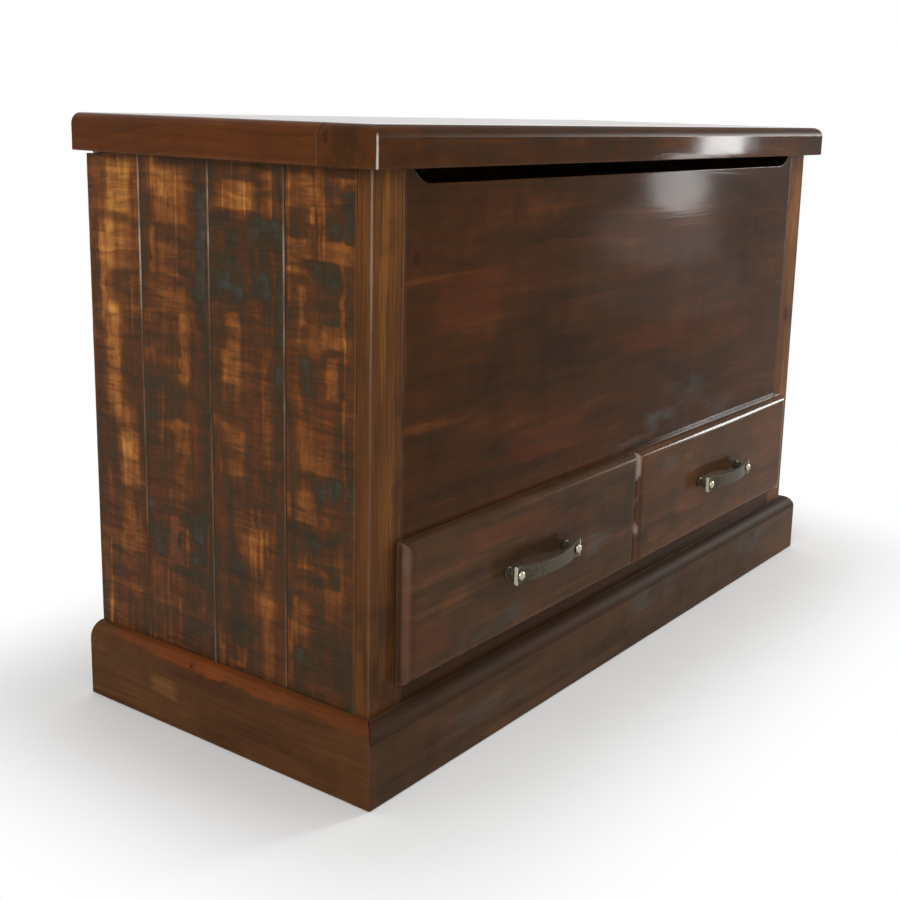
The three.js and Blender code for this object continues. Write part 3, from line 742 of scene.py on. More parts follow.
@dataclass(frozen=True)
class DressedPine:
    """Planed pine with a red-brown stain under gloss varnish."""

    slot: str = "dressed_pine"
    tones: Tones = (
        (0.0, "474942"), (0.14, "2b281f"), (0.27, "21170b"), (0.42, "331e0d"), (0.56, "44260f"),
        (0.72, "5c3216"), (1.0, "885423"),
    )
    base: float = 0.55
    ruddy: str = "6e3318"
    # Colour of worn arrises, also used for the painted highlight on the end roundings.
    worn_arris_and_sheen: str = "6c4a38"
    # Strength of the paler end roundings, partly wear and partly a painted highlight of light from the left.
    end_sheen_and_wear: float = 0.0
    # The strength and colour of a painted highlight along the upright front corner.
    corner: float = 0.0
    corner_glint_tone: str = "9c8a7c"
    arris_reach: float = 0.004
    chips: float = 0.0
    bare: str = "b9a79d"
    chill: str = "4f5553"
    chill_share: float = 0.6
    knot_core: str = "150b06"
    knot_halo: str = "5a2c16"
    gloss: float = 0.055
    rubbed_rounding: float = 0.0
    # How much darker the long roundings are made.
    rounding_darkening: float = 0.0
    cloud: float = 0.55
    wisps: float = 0.22
    bands: float = 0.2
    rings: float = 0.25
    fibre: float = 0.32
    wave: float = 0.7

    def material(self, effects: Effects, board: Board) -> bpy.types.Material:
        """The finish for one board.

        Args:
            effects: The shared effects.
            board: The board.

        Returns:
            Its material.
        """
        s = Surface(self.slot, effects, board)
        g = s.graph
        figure, shade_and_wax, rounding = s.figure(0.05), s.shade_and_wax(0.02), s.long_rounding()
        stain = g.group(
            effects.stain_depth, Vector=g.vector("MULTIPLY", s.grain, (0.6, 0.8, 0.8)), Base=self.base,
            Half_Width=s.half_width, Worn=s.marks(board.worn), Cloud=self.cloud, Wisps=self.wisps,
            Bands=self.bands, Cuts=0.0, Edge=0.0,
        )
        arris = s.arris(self.arris_reach)
        _, darkest, brown = (code for _, code in self.tones[:3])
        torn = g.smooth(g.noise(s.grain, (20.0, 38.0, 38.0), 3.0), 0.32, 0.66)
        fibres = g.smooth(figure["Fibre"], 0.48, 0.72)
        # The corner mask's dark wash below is painted shade in corners, with some grime.
        colour = g.washes(
            g.ramp(stain["Tone"], self.tones), (s.marks(board.ruddy), 0.45, self.ruddy),
            (g.times(s.marks(board.slate), torn), self.chill_share, self.chill),
            (figure["Rings"], self.rings, darkest), (fibres, self.fibre, darkest), (shade_and_wax, 0.5, darkest),
        )
        colour = s.knots(colour, self.knot_core, self.knot_halo)
        # A painted highlight along the upright front corner, fading towards the floor.
        corner = g.times(arris["Front Corner"], g.between(g.smooth(s.up(), 0.4, 0.62), 0.15, 1.0))
        broken = g.between(g.noise(s.grain, 14.0, 4.0), -0.2, 1.7)
        # The end roundings turn paler, partly as wear and partly as a painted highlight, less where the corner
        # mask paints shade.
        sheen_and_wear = g.times(g.times(s.end_rounding(), broken), g.less(1.0, shade_and_wax), clamp=True)
        near_top = g.smooth(s.up(), s.high.z - 0.05, s.high.z - 0.02)
        flaked = g.smooth(g.times_plus(near_top, 0.22, g.noise(s.point, (70.0, 70.0, 40.0), 5.0)), 0.5, 0.72)
        colour = g.washes(
            colour, (arris["Mask"], 0.3, self.worn_arris_and_sheen), (rounding, self.rounding_darkening, brown),
            (corner, self.corner, self.corner_glint_tone), (sheen_and_wear, self.end_sheen_and_wear, self.worn_arris_and_sheen),
            (g.times(s.end_rounding(), flaked), self.chips, self.bare),
        )

        cloudy = g.between(figure["Cloud"], self.gloss, self.gloss + 0.04)
        rough = g.times_plus(rounding, self.rubbed_rounding, g.times_plus(figure["Fibre"], 0.02, cloudy))
        wave = g.noise(s.grain, (3.0, 14.0, 14.0), 2.0)
        ripple = g.noise(s.grain, (5.0, 60.0, 60.0), 2.0, 0.5)
        height = g.times_plus(figure["Rings"], 0.03, g.times(figure["Fibre"], 0.04))
        height = g.times_plus(ripple, 0.1, g.times_plus(wave, self.wave, height))
        return s.close(colour, rough, height, relief=0.0004, specular=0.032)


@dataclass(frozen=True)
class InsidePine:
    """Plain pine with a thin wash of stain."""

    slot: str = "inside_pine"
    pale: str = "9a7048"
    dark: str = "6d482b"

    def material(self, effects: Effects, board: Board) -> bpy.types.Material:
        """The finish for one board.

        Args:
            effects: The shared effects.
            board: The board.

        Returns:
            Its material.
        """
        s = Surface(self.slot, effects, board)
        g = s.graph
        figure = s.figure(0.04)
        colour = g.blend(g.smooth(figure["Cloud"], 0.3, 0.7), linear(self.dark), linear(self.pale))
        fibres = g.smooth(figure["Fibre"], 0.5, 0.75)
        # The corner mask darkens corners with painted shade.
        masks = ((figure["Rings"], 0.5), (fibres, 0.3), (s.shade_and_wax(0.03), 0.4))
        colour = g.washes(colour, *((mask, strength, self.dark) for mask, strength in masks), how="MULTIPLY")
        height = g.times_plus(figure["Rings"], 0.3, g.times(figure["Fibre"], 0.5))
        return s.close(colour, g.between(figure["Fibre"], 0.5, 0.7), height, relief=0.0004, specular=0.3)


def end_faces(s: Surface) -> Socket:
    """A mask of a strap's two end faces, which handling has polished.

    Args:
        s: The strap's surface.

    Returns:
        The mask.
    """
    g = s.graph
    x = g.split(s.point)[0]
    to_end = g.math("MINIMUM", g.less(x, s.low.x), g.less(s.high.x, x))
    return g.fall(to_end, 0.001, 0.0016)


def domed_head(s: Surface) -> Socket:
    """A mask of a pillar's domed head, which handling has polished."""
    y = s.graph.split(s.point)[1]
    return s.graph.fall(s.graph.less(y, s.low.y), 0.0046, 0.005)


@dataclass(frozen=True)
class Metal:
    """A worn metal with a darker patina, polished where a mask says so."""

    name: str
    slot: str
    polished: str
    patina: str
    hollow: str
    patina_share: float
    smoothest: float
    roughest: float
    metallic_patina: float
    metallic_polished: float = 1.0
    bright: Callable[[Surface], Socket] | None = None

    def material(self, effects: Effects, board: Board) -> bpy.types.Material:
        """The finish for one piece.

        Args:
            effects: The shared effects.
            board: The piece, given as a board.

        Returns:
            Its material.
        """
        s = Surface(self.name, effects, board)
        g = s.graph
        spots = g.noise(s.point, 260.0, 3.0, 0.2)
        brushed = g.noise(s.point, (90.0, 900.0, 900.0), 2.0)
        dull = g.times(g.between(g.smooth(spots, 0.3, 0.7), 0.95, 1.0), self.patina_share)
        # Patina gathers in the hollows that the corner mask finds.
        dull = g.times_plus(s.shade_and_wax(0.004), 0.4, dull, clamp=True)
        if self.bright:
            dull = g.times(dull, g.less(1.0, self.bright(s)))
        shade = g.washes(linear(self.patina), (spots, 0.35, self.hollow))
        colour = g.blend(dull, linear(self.polished), shade)
        rough = g.times_plus(brushed, 0.08, g.between(dull, self.smoothest, self.roughest))
        height = g.times_plus(brushed, 0.25, g.times(spots, 0.2))
        metallic = g.between(dull, self.metallic_polished, self.metallic_patina)
        return s.close(colour, rough, height, relief=0.00006, specular=0.08, metallic=metallic)


PALE_BRASS = Metal(
    "pale_brass", "brass", polished="b0a994", patina="4a4436", hollow="2a2219", patina_share=1.0,
    smoothest=0.16, roughest=0.45, metallic_patina=0.4, bright=domed_head,
)
HINGE_BRASS = Metal(
    "hinge_brass", "brass", polished="b09a6c", patina="7a6a48", hollow="5a4c34", patina_share=0.85,
    smoothest=0.25, roughest=0.45, metallic_patina=0.55,
)
SCREW_BRASS = replace(
    HINGE_BRASS, name="screw_brass", polished="d2c08e", patina="8a7850", patina_share=0.35,
    smoothest=0.2, roughest=0.4, metallic_patina=0.7,
)
BRONZE = Metal(
    "bronze", "bronze", polished="cbc4ab", patina="433b2e", hollow="352e24", patina_share=1.0,
    smoothest=0.5, roughest=0.4, metallic_patina=0.1, metallic_polished=0.3, bright=end_faces,
)


def into_piece(bm: bmesh.types.BMesh, name: str, sharp: float | None = None) -> bpy.types.Object:
    """Turns a mesh under construction into an object of the scene.

    Args:
        bm: The mesh, which is freed.
        name: The name of the object and of its mesh.
        sharp: The angle in degrees from which an edge stays sharp, or none for flat faces.

    Returns:
        The object.
    """
    mesh = bpy.data.meshes.new(name)
    bm.to_mesh(mesh)
    bm.free()
    if sharp is not None:
        mesh.shade_smooth()
        mesh.set_sharp_from_angle(angle=math.radians(sharp))
    piece = bpy.data.objects.new(name, mesh)
    bpy.context.scene.collection.objects.link(piece)
    return piece


@dataclass(frozen=True)
class Softening:
    """How the arrises of a piece are eased and worn, in metres, and how finely the piece is divided."""

    radius: float = 0.0006
    pitch: float = 0.0
    wear: float = 0.0


@dataclass
class Carpenter:
    """Dresses nodes: rebuilds them with eased arrises, gives them their finish and lets them ride."""

    effects: Effects
    flat_within: float = math.radians(0.5)
    arris_from: float = math.radians(25)
    shaded_sharp_from: float = 34.0
    coarse_rub: float = 55.0
    fine_rub: float = 170.0
    fine_share: float = 0.5
    least_rub: float = 0.35

    def fit(
        self, board: Board, finish: Finish, body: str, softening: Softening = Softening(),
    ) -> bpy.types.Object:
        """Dresses one board.

        Args:
            board: The board.
            finish: Its finish.
            body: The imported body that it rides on.
            softening: How its arrises are eased.

        Returns:
            The dressed piece.
        """
        piece = self._softened(board.node, softening, board.lay.axes()[0])
        piece.data.materials.append(finish.material(self.effects, board))
        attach(piece, body)
        LOG.info("%s: %s, %d faces", body, piece.name, len(piece.data.polygons))
        return piece

    def _softened(self, node: str, softening: Softening, long_axis: int) -> bpy.types.Object:
        """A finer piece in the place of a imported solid.

        Args:
            node: The solid's name.
            softening: How its arrises are eased.
            long_axis: The axis that it is divided along, from 0 for X to 2 for Z.

        Returns:
            The new piece, which replaces the solid.
        """
        bm = bmesh.new()
        bm.from_mesh(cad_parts[node].data)
        bmesh.ops.remove_doubles(bm, verts=bm.verts, dist=MERGE)
        bmesh.ops.dissolve_limit(bm, angle_limit=self.flat_within, verts=bm.verts, edges=bm.edges)
        worn = bm.faces.layers.int.new("worn")
        sharp = [e for e in bm.edges if len(e.link_faces) == 2 and e.calc_face_angle() > self.arris_from]
        made = bmesh.ops.bevel(
            bm, geom=sharp, offset=softening.radius, offset_type="OFFSET", segments=2, profile=0.5,
            affect="EDGES", clamp_overlap=True,
        )
        for face in made["faces"]:
            face[worn] = 1
        if softening.pitch:
            self._divide(bm, softening.pitch, long_axis)
        self._wear(bm, worn, softening.wear)
        low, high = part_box(node)
        for vert in bm.verts:
            vert.co = Vector(min(max(vert.co[i], low[i]), high[i]) for i in range(3))
        piece = into_piece(bm, f"{node}_worn", self.shaded_sharp_from)
        piece.modifiers.new("even_shading", "WEIGHTED_NORMAL").keep_sharp = True
        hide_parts(node)
        return piece

    @staticmethod
    def _divide(bm: bmesh.types.BMesh, pitch: float, axis: int) -> None:
        """Cuts the mesh across at a steady pitch.

        Args:
            bm: The mesh.
            pitch: Distance between cuts.
            axis: The axis that the cuts are square to.
        """
        places_along = [v.co[axis] for v in bm.verts]
        low, high = min(places_along), max(places_along)
        normal = Vector(float(i == axis) for i in range(3))
        for i in range(1, math.ceil((high - low) / pitch)):
            everything = list(bm.verts) + list(bm.edges) + list(bm.faces)
            centre = normal * (low + i * pitch)
            bmesh.ops.bisect_plane(bm, geom=everything, dist=MERGE, plane_co=centre, plane_no=normal)

    def _wear(self, bm: bmesh.types.BMesh, layer: bmesh.types.BMLayerItem, depth: float) -> None:
        """Moves points of the arrises inwards by an uneven amount.

        Args:
            bm: The mesh.
            layer: The face layer that marks the arrises.
            depth: The deepest wear, in metres.
        """
        bm.normal_update()
        moves = []
        for vert in bm.verts:
            if all(face[layer] for face in vert.link_faces):
                fine = noise.noise(vert.co * self.fine_rub)
                rub = noise.noise(vert.co * self.coarse_rub) + self.fine_share * fine
                share = min(max(rub + self.least_rub, 0.0), 1.0)
                moves.append((vert, -vert.normal * depth * share))
        for vert, move in moves:
            vert.co += move


LEFT_WORN = places(
    (181, 622, 22, 29, 0.8), (187, 553, 22, 29, 0.7), (197, 420, 12, 64), (93, 615, 28, 30, 0.9),
    (104, 546, 25, 19, 0.5), (124, 554, 4, 26, 0.9), (95, 500, 27, 17, 0.5), (75, 449, 9, 39, 0.9),
    (211, 520, 5, 60, 0.8), (-12, 622, 26, 15, 0.95), (-58, 623, 13, 21, 0.35), (-3, 478, 11, 22, 0.8),
    (1, 439, 14, 18, 0.6), (-103, 632, 19, 15, 0.7), (-166, 640, 11, 8, 0.8), (-119, 609, 4, 10, 0.9),
    (-99, 565, 16, 18, 0.7), (-153, 573, 25, 9, 0.6), (-144, 488, 12, 13, 0.8), (-146, 445, 9, 21),
    (-103, 516, 5, 21, 0.7), (171, 305, 21, 35, 0.75), (178, 232, 12, 21, 0.5), (206, 104, 22, 17, 0.5),
    (83, 346, 14, 19, 0.6), (-160, 540, 3, 60, 0.7), (0, 342, 16, 30, 0.55), (-26, 236, 18, 17, 0.45),
    (-41, 175, 34, 12, 0.35), (-9, 108, 8, 12, 0.7), (-121, 371, 26, 28, 0.6), (-109, 293, 14, 26, 0.7),
    (-116, 243, 22, 11, 0.65), (-101, 172, 12, 27, 0.8), (-137, 94, 29, 12, 0.6),
)
LEFT_SLATE = places(
    (216, 581, 11, 13), (47, 559, 8, 81), (-23, 557, 50, 45), (-152, 613, 26, 27), (-132, 552, 30, 13),
    (-115, 456, 14, 36), (190, 171, 34, 21), (91, 229, 51, 30), (-149, 325, 30, 16), (-130, 276, 50, 11),
    (-138, 232, 19, 13),
)
THIRD_BOARD_RUDDY = places((100, 230, 7, 20, 0.9), (98, 202, 12, 12, 0.7))


@dataclass
class Sides:
    """The upright boards of both sides and the back."""

    side_piths: tuple[tuple[float, float], ...] = ((-30, -45), (25, 70), (-10, -45), (35, 70))
    side_ring_width: float = 5.5
    side_seed_step: float = 1.7
    right_side_seed: float = 11.0
    front_board_base: float = 0.54
    boards_in_back: int = 9
    back_pith_depth: float = 50.0
    back_seed: float = 31.0
    back_seed_step: float = 1.9
    softening: Softening = Softening(radius=0.0007, pitch=0.01, wear=0.0004)

    def build(self, carpenter: Carpenter) -> None:
        """Dresses every upright board.

        Args:
            carpenter: Who fits the pieces.
        """
        finish = SawnPine()
        for hand, label in enumerate(("left", "right")):
            shown = label == "left"
            for i, (across, depth) in enumerate(self.side_piths, 1):
                node = f"{label}_side_board_{i}"
                board = Board(
                    node, Lay.UPRIGHT_IN_SIDE, self.side_seed_step * i + self.right_side_seed * hand,
                    pith_across=across, pith_depth=depth, ring_width=self.side_ring_width,
                    worn=self._reaching(LEFT_WORN, node) if shown else (),
                    slate=self._reaching(LEFT_SLATE, node) if shown else (),
                    ruddy=THIRD_BOARD_RUDDY if shown and i == 3 else (),
                )
                base = self.front_board_base if i == len(self.side_piths) else finish.base
                carpenter.fit(board, replace(finish, base=base), "carcass", self.softening)
        for i in range(1, self.boards_in_back + 1):
            board = Board(
                f"back_board_{i}", Lay.UPRIGHT_IN_FRONT, self.back_seed + self.back_seed_step * i,
                pith_across=(i * 37) % 80 - 40, pith_depth=self.back_pith_depth,
            )
            carpenter.fit(board, finish, "carcass", self.softening)

    @staticmethod
    def _reaching(marks: Iterable[Place], node: str) -> tuple[Place, ...]:
        """The places that lie on a board of the side, or reach onto it.

        Args:
            marks: All places of the side.
            node: The board's node.

        Returns:
            Those on the board.
        """
        low, high = (corner.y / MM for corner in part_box(node))
        return tuple(p for p in marks if low < p.across + p.half_width and p.across - p.half_width < high)


STILE_TONES = (
    (0.0, "302a22"), (0.22, "2f1f12"), (0.4, "452b18"), (0.56, "5a371d"), (0.74, "724722"), (1.0, "97622f"),
)
PLINTH_TONES = (
    (0.0, "302e28"), (0.22, "33200f"), (0.4, "482b18"), (0.56, "57371e"), (0.74, "6c4726"), (1.0, "8e5f30"),
)
DRAWER_TONES = (
    (0.0, "4c4d48"), (0.14, "35312a"), (0.26, "2a2017"), (0.42, "3d2a1b"), (0.56, "503622"),
    (0.74, "694029"), (1.0, "8a5a36"),
)
LID_TONES = (
    (0.0, "302e28"), (0.22, "35200f"), (0.4, "4b2811"), (0.56, "5a3015"), (0.74, "6e3e1b"), (1.0, "8e5623"),
)


@dataclass
class Front:
    """Stiles, wide panel and bottom rail."""

    softening: Softening = Softening(radius=0.001, pitch=0.02, wear=0.0004)

    def build(self, carpenter: Carpenter) -> None:
        """Dresses the front frame.

        Args:
            carpenter: Who fits the pieces.
        """
        # The stiles carry a painted highlight on their front corner.
        stile = DressedPine(
            tones=STILE_TONES, base=0.585, rings=0.3, wisps=0.4, bands=0.08, fibre=0.4, corner=0.7,
            arris_reach=0.0024, chill="2c2117",
        )
        left = Board(
            "front_stile_left", Lay.UPRIGHT_IN_FRONT, seed=3.1, pith_across=60, pith_depth=30, ring_width=4.5,
            slate=places((-498, 590, 12, 18, 0.9), (-500, 120, 40, 90, 0.9), (-478, 300, 10, 160, 0.8)),
        )
        right = Board(
            "front_stile_right", Lay.UPRIGHT_IN_FRONT, seed=5.3, pith_across=-70, pith_depth=35, ring_width=5,
            worn=places((505, 520, 14, 110, 0.7), (508, 320, 14, 70, 0.6)),
            knots=(Knot(494, -197, 405, 6, 0.5),),
        )
        panel = Board(
            "front_panel", Lay.LENGTHWISE_ON_EDGE, seed=7.7, pith_across=-90, pith_depth=80, ring_width=9,
            slate=places(
                (86, 292, 44, 26, 0.8), (230, 290, 80, 18, 0.4), (10, 276, 50, 14, 0.6),
                (150, 330, 60, 20, 0.4),
            ),
            ruddy=places((-362, 515, 60, 30, 0.6), (-200, 330, 80, 20, 0.6), (60, 420, 90, 14, 0.4)),
            knots=(Knot(-454, -197, 568, 4, 0.35),),
        )
        rail = Board("bottom_rail", Lay.LENGTHWISE_ON_EDGE, seed=9.2, pith_across=40, pith_depth=50)
        # The bottom rail's darker finish partly paints the shade in the gap under the drawers.
        finishes = (stile, stile, DressedPine(base=0.52), DressedPine(base=0.45, cloud=0.4, gloss=0.16))
        for board, finish in zip((left, right, panel, rail), finishes):
            carpenter.fit(board, finish, "carcass", self.softening)


@dataclass
class Inside:
    """What holds the carcass together and carries the drawers."""

    first_seed: float = 51.3
    seed_step: float = 1.3

    def build(self, carpenter: Carpenter) -> None:
        """Dresses the pieces inside the carcass.

        Args:
            carpenter: Who fits the pieces.
        """
        front_to_back = (
            "drawer_divider", "top_cleat_left", "top_cleat_right", "floor_cleat_left", "floor_cleat_right",
            "drawer_runner_left", "drawer_runner_centre", "drawer_runner_right",
        )
        lays = dict.fromkeys(front_to_back, Lay.FRONT_TO_BACK_ON_EDGE)
        lays |= dict.fromkeys(("back_top_rail", "back_foot_rail"), Lay.LENGTHWISE_ON_EDGE)
        lays["compartment_floor"] = Lay.LENGTHWISE_FLAT
        for i, (node, lay) in enumerate(lays.items()):
            board = Board(node, lay, self.first_seed + i * self.seed_step)
            carpenter.fit(board, InsidePine(), "carcass")


@dataclass
class Plinth:
    """The three rounded boards of the plinth."""

    softening: Softening = Softening(radius=0.0012, pitch=0.02, wear=0.0007)

    def build(self, carpenter: Carpenter) -> None:
        """Dresses the plinth boards.

        Args:
            carpenter: Who fits the pieces.
        """
        front = Board(
            "plinth_front", Lay.LENGTHWISE_ON_EDGE, seed=13.0, pith_across=70, pith_depth=40, ring_width=7,
            slate=places((60, 62, 60, 16, 0.6), (372, 52, 50, 18, 0.6), (-330, 40, 80, 14, 0.4)),
            ruddy=places((-185, 78, 110, 9, 0.7), (-420, 84, 60, 6, 0.6)),
        )
        glossy = DressedPine(
            tones=DRAWER_TONES, base=0.5, gloss=0.15, rubbed_rounding=0.35, rounding_darkening=0.65,
            ruddy="62331d",
        )
        carpenter.fit(front, glossy, "carcass", self.softening)
        redder = DressedPine(tones=PLINTH_TONES, base=0.52, ruddy="8a441c", rings=0.3)
        left = Board(
            "plinth_left", Lay.FRONT_TO_BACK_ON_EDGE, seed=15.0, pith_across=-50, pith_depth=60, ring_width=8,
            worn=places((101, 47, 22, 12, 0.7)),
            ruddy=places(
                (150, 92, 50, 9, 0.9), (57, 90, 70, 10, 1.3), (-35, 89, 70, 9), (-150, 88, 80, 8, 0.6),
            ),
            knots=(Knot(-541, 57, 88, 3),),
        )
        for board in (left, replace(left, node="plinth_right", seed=17.0, knots=())):
            carpenter.fit(board, redder, "carcass", self.softening)


@dataclass
class Lid:
    """The lid's frame and panel."""

    softening: Softening = Softening(radius=0.0012, pitch=0.02, wear=0.0005)

    def build(self, carpenter: Carpenter) -> None:
        """Dresses the lid.

        Args:
            carpenter: Who fits the pieces.
        """
        redder = DressedPine(tones=LID_TONES, base=0.5, gloss=0.07, rings=0.32, wisps=0.3)
        # The darker rails carry a bright painted highlight on their front corner.
        darker = DressedPine(
            base=0.56, gloss=0.035, rubbed_rounding=0.35, rounding_darkening=0.25, corner=1.0,
            corner_glint_tone="d8cac0", arris_reach=0.0026, rings=0.3, wisps=0.15,
        )
        front_rail = Board(
            "lid_front_rail", Lay.LENGTHWISE_ON_EDGE, seed=21.0, pith_across=-8, pith_depth=30, ring_width=5,
            knots=(Knot(-541, -152, 688, 4, 0.4),),
        )
        left_rail = Board(
            "lid_left_rail", Lay.FRONT_TO_BACK_ON_EDGE, seed=23.0, pith_across=50, pith_depth=60,
        )
        finishes = {
            front_rail: darker,
            left_rail: redder,
            replace(left_rail, node="lid_right_rail", seed=25.0): redder,
            Board("lid_back_rail", Lay.LENGTHWISE_FLAT, seed=27.0): darker,
            Board("lid_panel", Lay.LENGTHWISE_FLAT, seed=29.0, ring_width=9): redder,
        }
        for board, finish in finishes.items():
            carpenter.fit(board, finish, "lid", self.softening)


@dataclass
class TurnedPillar:
    """The pillar of a handle with its stud, neck and domed head, along -Y."""

    pillar_radius: float = 0.0055
    base_radius: float = 0.007
    base_thickness: float = 0.002
    pillar_length: float = 0.014
    neck_radius: float = 0.0028
    head_radius: float = 0.0057
    head_height: float = 0.0046
    rim: float = 0.0008
    ease: float = 0.0005
    bead_height: float = 0.0009
    bead_from: float = 0.0072
    bead_to: float = 0.01
    bead_margin: float = 0.0004
    stud_radius: float = 0.002
    stud_length: float = 0.0138
    stud_clearance: float = 0.0002
    strap_gap: float = 0.0046
    sides: int = 40
    bead_steps: int = 6
    dome_steps: int = 10
    shaded_sharp_from: float = 40.0

    def profile(self) -> list[tuple[float, float]]:
        """The outline that is turned, from the stud's end to the top of the head.

        Returns:
            Pairs of radius and distance out from the drawer's face.
        """
        ease, waist = self.ease, self.pillar_radius - self.ease
        head = self.pillar_length + self.strap_gap
        rising = self.head_height - self.rim
        bead = [
            (
                self.pillar_radius + self.bead_height * math.sin(t * math.pi),
                self.bead_from + (self.bead_to - self.bead_from) * t,
            )
            for t in (i / self.bead_steps for i in range(1, self.bead_steps))
        ]
        dome = [
            (self.head_radius * math.cos(t), head + self.rim + rising * math.sin(t))
            for t in (math.pi / 2 * i / self.dome_steps for i in range(self.dome_steps))
        ]
        return [
            (0.0, -self.stud_length), (self.stud_radius, -self.stud_length), (self.stud_radius, 0.0),
            (self.base_radius - ease, 0.0), (self.base_radius, ease),
            (self.base_radius, self.base_thickness - ease), (self.base_radius - ease, self.base_thickness),
            (waist, self.base_thickness + ease), (waist, self.bead_from - self.bead_margin), *bead,
            (waist, self.bead_to + self.bead_margin), (waist, self.pillar_length - 2 * ease),
            (waist - ease, self.pillar_length), (self.neck_radius, self.pillar_length),
            (self.neck_radius, head), (self.head_radius - ease, head), (self.head_radius, head + ease),
            *dome, (0.0, head + self.head_height),
        ]

    def build(self, node: str) -> bpy.types.Object:
        """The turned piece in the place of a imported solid.

        Args:
            node: The solid's name.

        Returns:
            The new piece, which replaces the solid.
        """
        low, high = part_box(node)
        centre = (low + high) / 2
        centre.y = high.y - self.stud_length - self.stud_clearance
        bm = bmesh.new()
        verts = [bm.verts.new(centre + Vector((radius, -out, 0.0))) for radius, out in self.profile()]
        edges = [bm.edges.new(pair) for pair in zip(verts, verts[1:])]
        bmesh.ops.spin(
            bm, geom=verts + edges, cent=centre, axis=(0, 1, 0), dvec=ORIGIN, angle=math.tau,
            steps=self.sides, use_merge=True,
        )
        bmesh.ops.remove_doubles(bm, verts=bm.verts, dist=MERGE)
        bmesh.ops.recalc_face_normals(bm, faces=bm.faces)
        piece = into_piece(bm, f"{node}_turned", self.shaded_sharp_from)
        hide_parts(node)
        return piece


@dataclass
class Drawer:
    """One drawer with its rounded front and its handle."""

    label: str
    seed: float
    finish: DressedPine
    worn: tuple[Place, ...]
    ruddy: tuple[Place, ...]
    slate: tuple[Place, ...]
    inside_seed: float = 2.0
    strap_waist: float = 0.87
    strap_taper: float = 0.018
    softening: Softening = Softening(radius=0.0008, pitch=0.02, wear=0.0002)
    strap_softening: Softening = Softening(radius=0.0007)

    def build(self, carpenter: Carpenter) -> None:
        """Dresses the drawer.

        Args:
            carpenter: Who fits the pieces.
        """
        body = f"drawer_{self.label}"
        front = Board(
            f"drawer_front_{self.label}", Lay.LENGTHWISE_ON_EDGE, self.seed, pith_across=60, pith_depth=50,
            ring_width=7, worn=self.worn, slate=self.slate, ruddy=self.ruddy,
        )
        carpenter.fit(front, self.finish, body, self.softening)
        inside = {
            f"drawer_side_{self.label}_1": Lay.FRONT_TO_BACK_ON_EDGE,
            f"drawer_side_{self.label}_2": Lay.FRONT_TO_BACK_ON_EDGE,
            f"drawer_back_{self.label}": Lay.LENGTHWISE_ON_EDGE,
            f"drawer_bottom_{self.label}": Lay.LENGTHWISE_FLAT,
        }
        for i, (node, lay) in enumerate(inside.items()):
            carpenter.fit(Board(node, lay, self.seed + self.inside_seed + i), InsidePine(), body)
        strap = Board(f"handle_strap_{self.label}", Lay.LENGTHWISE_ON_EDGE)
        self._narrow(carpenter.fit(strap, BRONZE, body, self.strap_softening).data)
        for i in (1, 2):
            node = f"handle_pillar_{self.label}_{i}"
            piece = TurnedPillar().build(node)
            board = Board(node, Lay.LENGTHWISE_ON_EDGE)
            piece.data.materials.append(PALE_BRASS.material(carpenter.effects, board))
            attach(piece, body)
            LOG.info("%s: %s", body, piece.name)

    def _narrow(self, mesh: bpy.types.Mesh) -> None:
        """Draws a strap in between its two ends.

        Args:
            mesh: The strap's mesh.
        """
        across = [v.co.x for v in mesh.vertices]
        up = [v.co.z for v in mesh.vertices]
        half, centre = (max(across) - min(across)) / 2, (max(across) + min(across)) / 2
        middle = (max(up) + min(up)) / 2
        for vert in mesh.vertices:
            inward = min(max((half - abs(vert.co.x - centre)) / self.strap_taper, 0.0), 1.0)
            drawn_in = (1.0 - self.strap_waist) * inward * inward * (3 - 2 * inward)
            vert.co.z = middle + (vert.co.z - middle) * (1.0 - drawn_in)


DRAWER_PINE = DressedPine(
    tones=DRAWER_TONES, cloud=0.6, wave=0.2, gloss=0.08, worn_arris_and_sheen="80594c", ruddy="6a3a24",
)
LEFT_DRAWER = Drawer(
    "left", 41.0, replace(DRAWER_PINE, base=0.48, end_sheen_and_wear=0.35, chips=0.05, gloss=0.15),
    worn=places((-402, 190, 26, 12, 0.35), (-60, 235, 30, 10, 0.3)),
    ruddy=places((-300, 245, 90, 14, 0.8), (-440, 160, 30, 20, 0.6), (-180, 225, 60, 12, 0.5)),
    slate=places((-95, 178, 40, 14, 0.6), (-330, 140, 60, 12, 0.5)),
)
RIGHT_DRAWER = Drawer(
    "right", 47.0, replace(DRAWER_PINE, base=0.575, end_sheen_and_wear=0.55, chips=0.75),
    worn=places((155, 173, 40, 14, 0.6), (60, 150, 30, 10, 0.4)), ruddy=places((60, 215, 50, 16, 0.5)),
    slate=places((110, 240, 40, 10, 0.6), (330, 200, 50, 18, 0.15)),
)


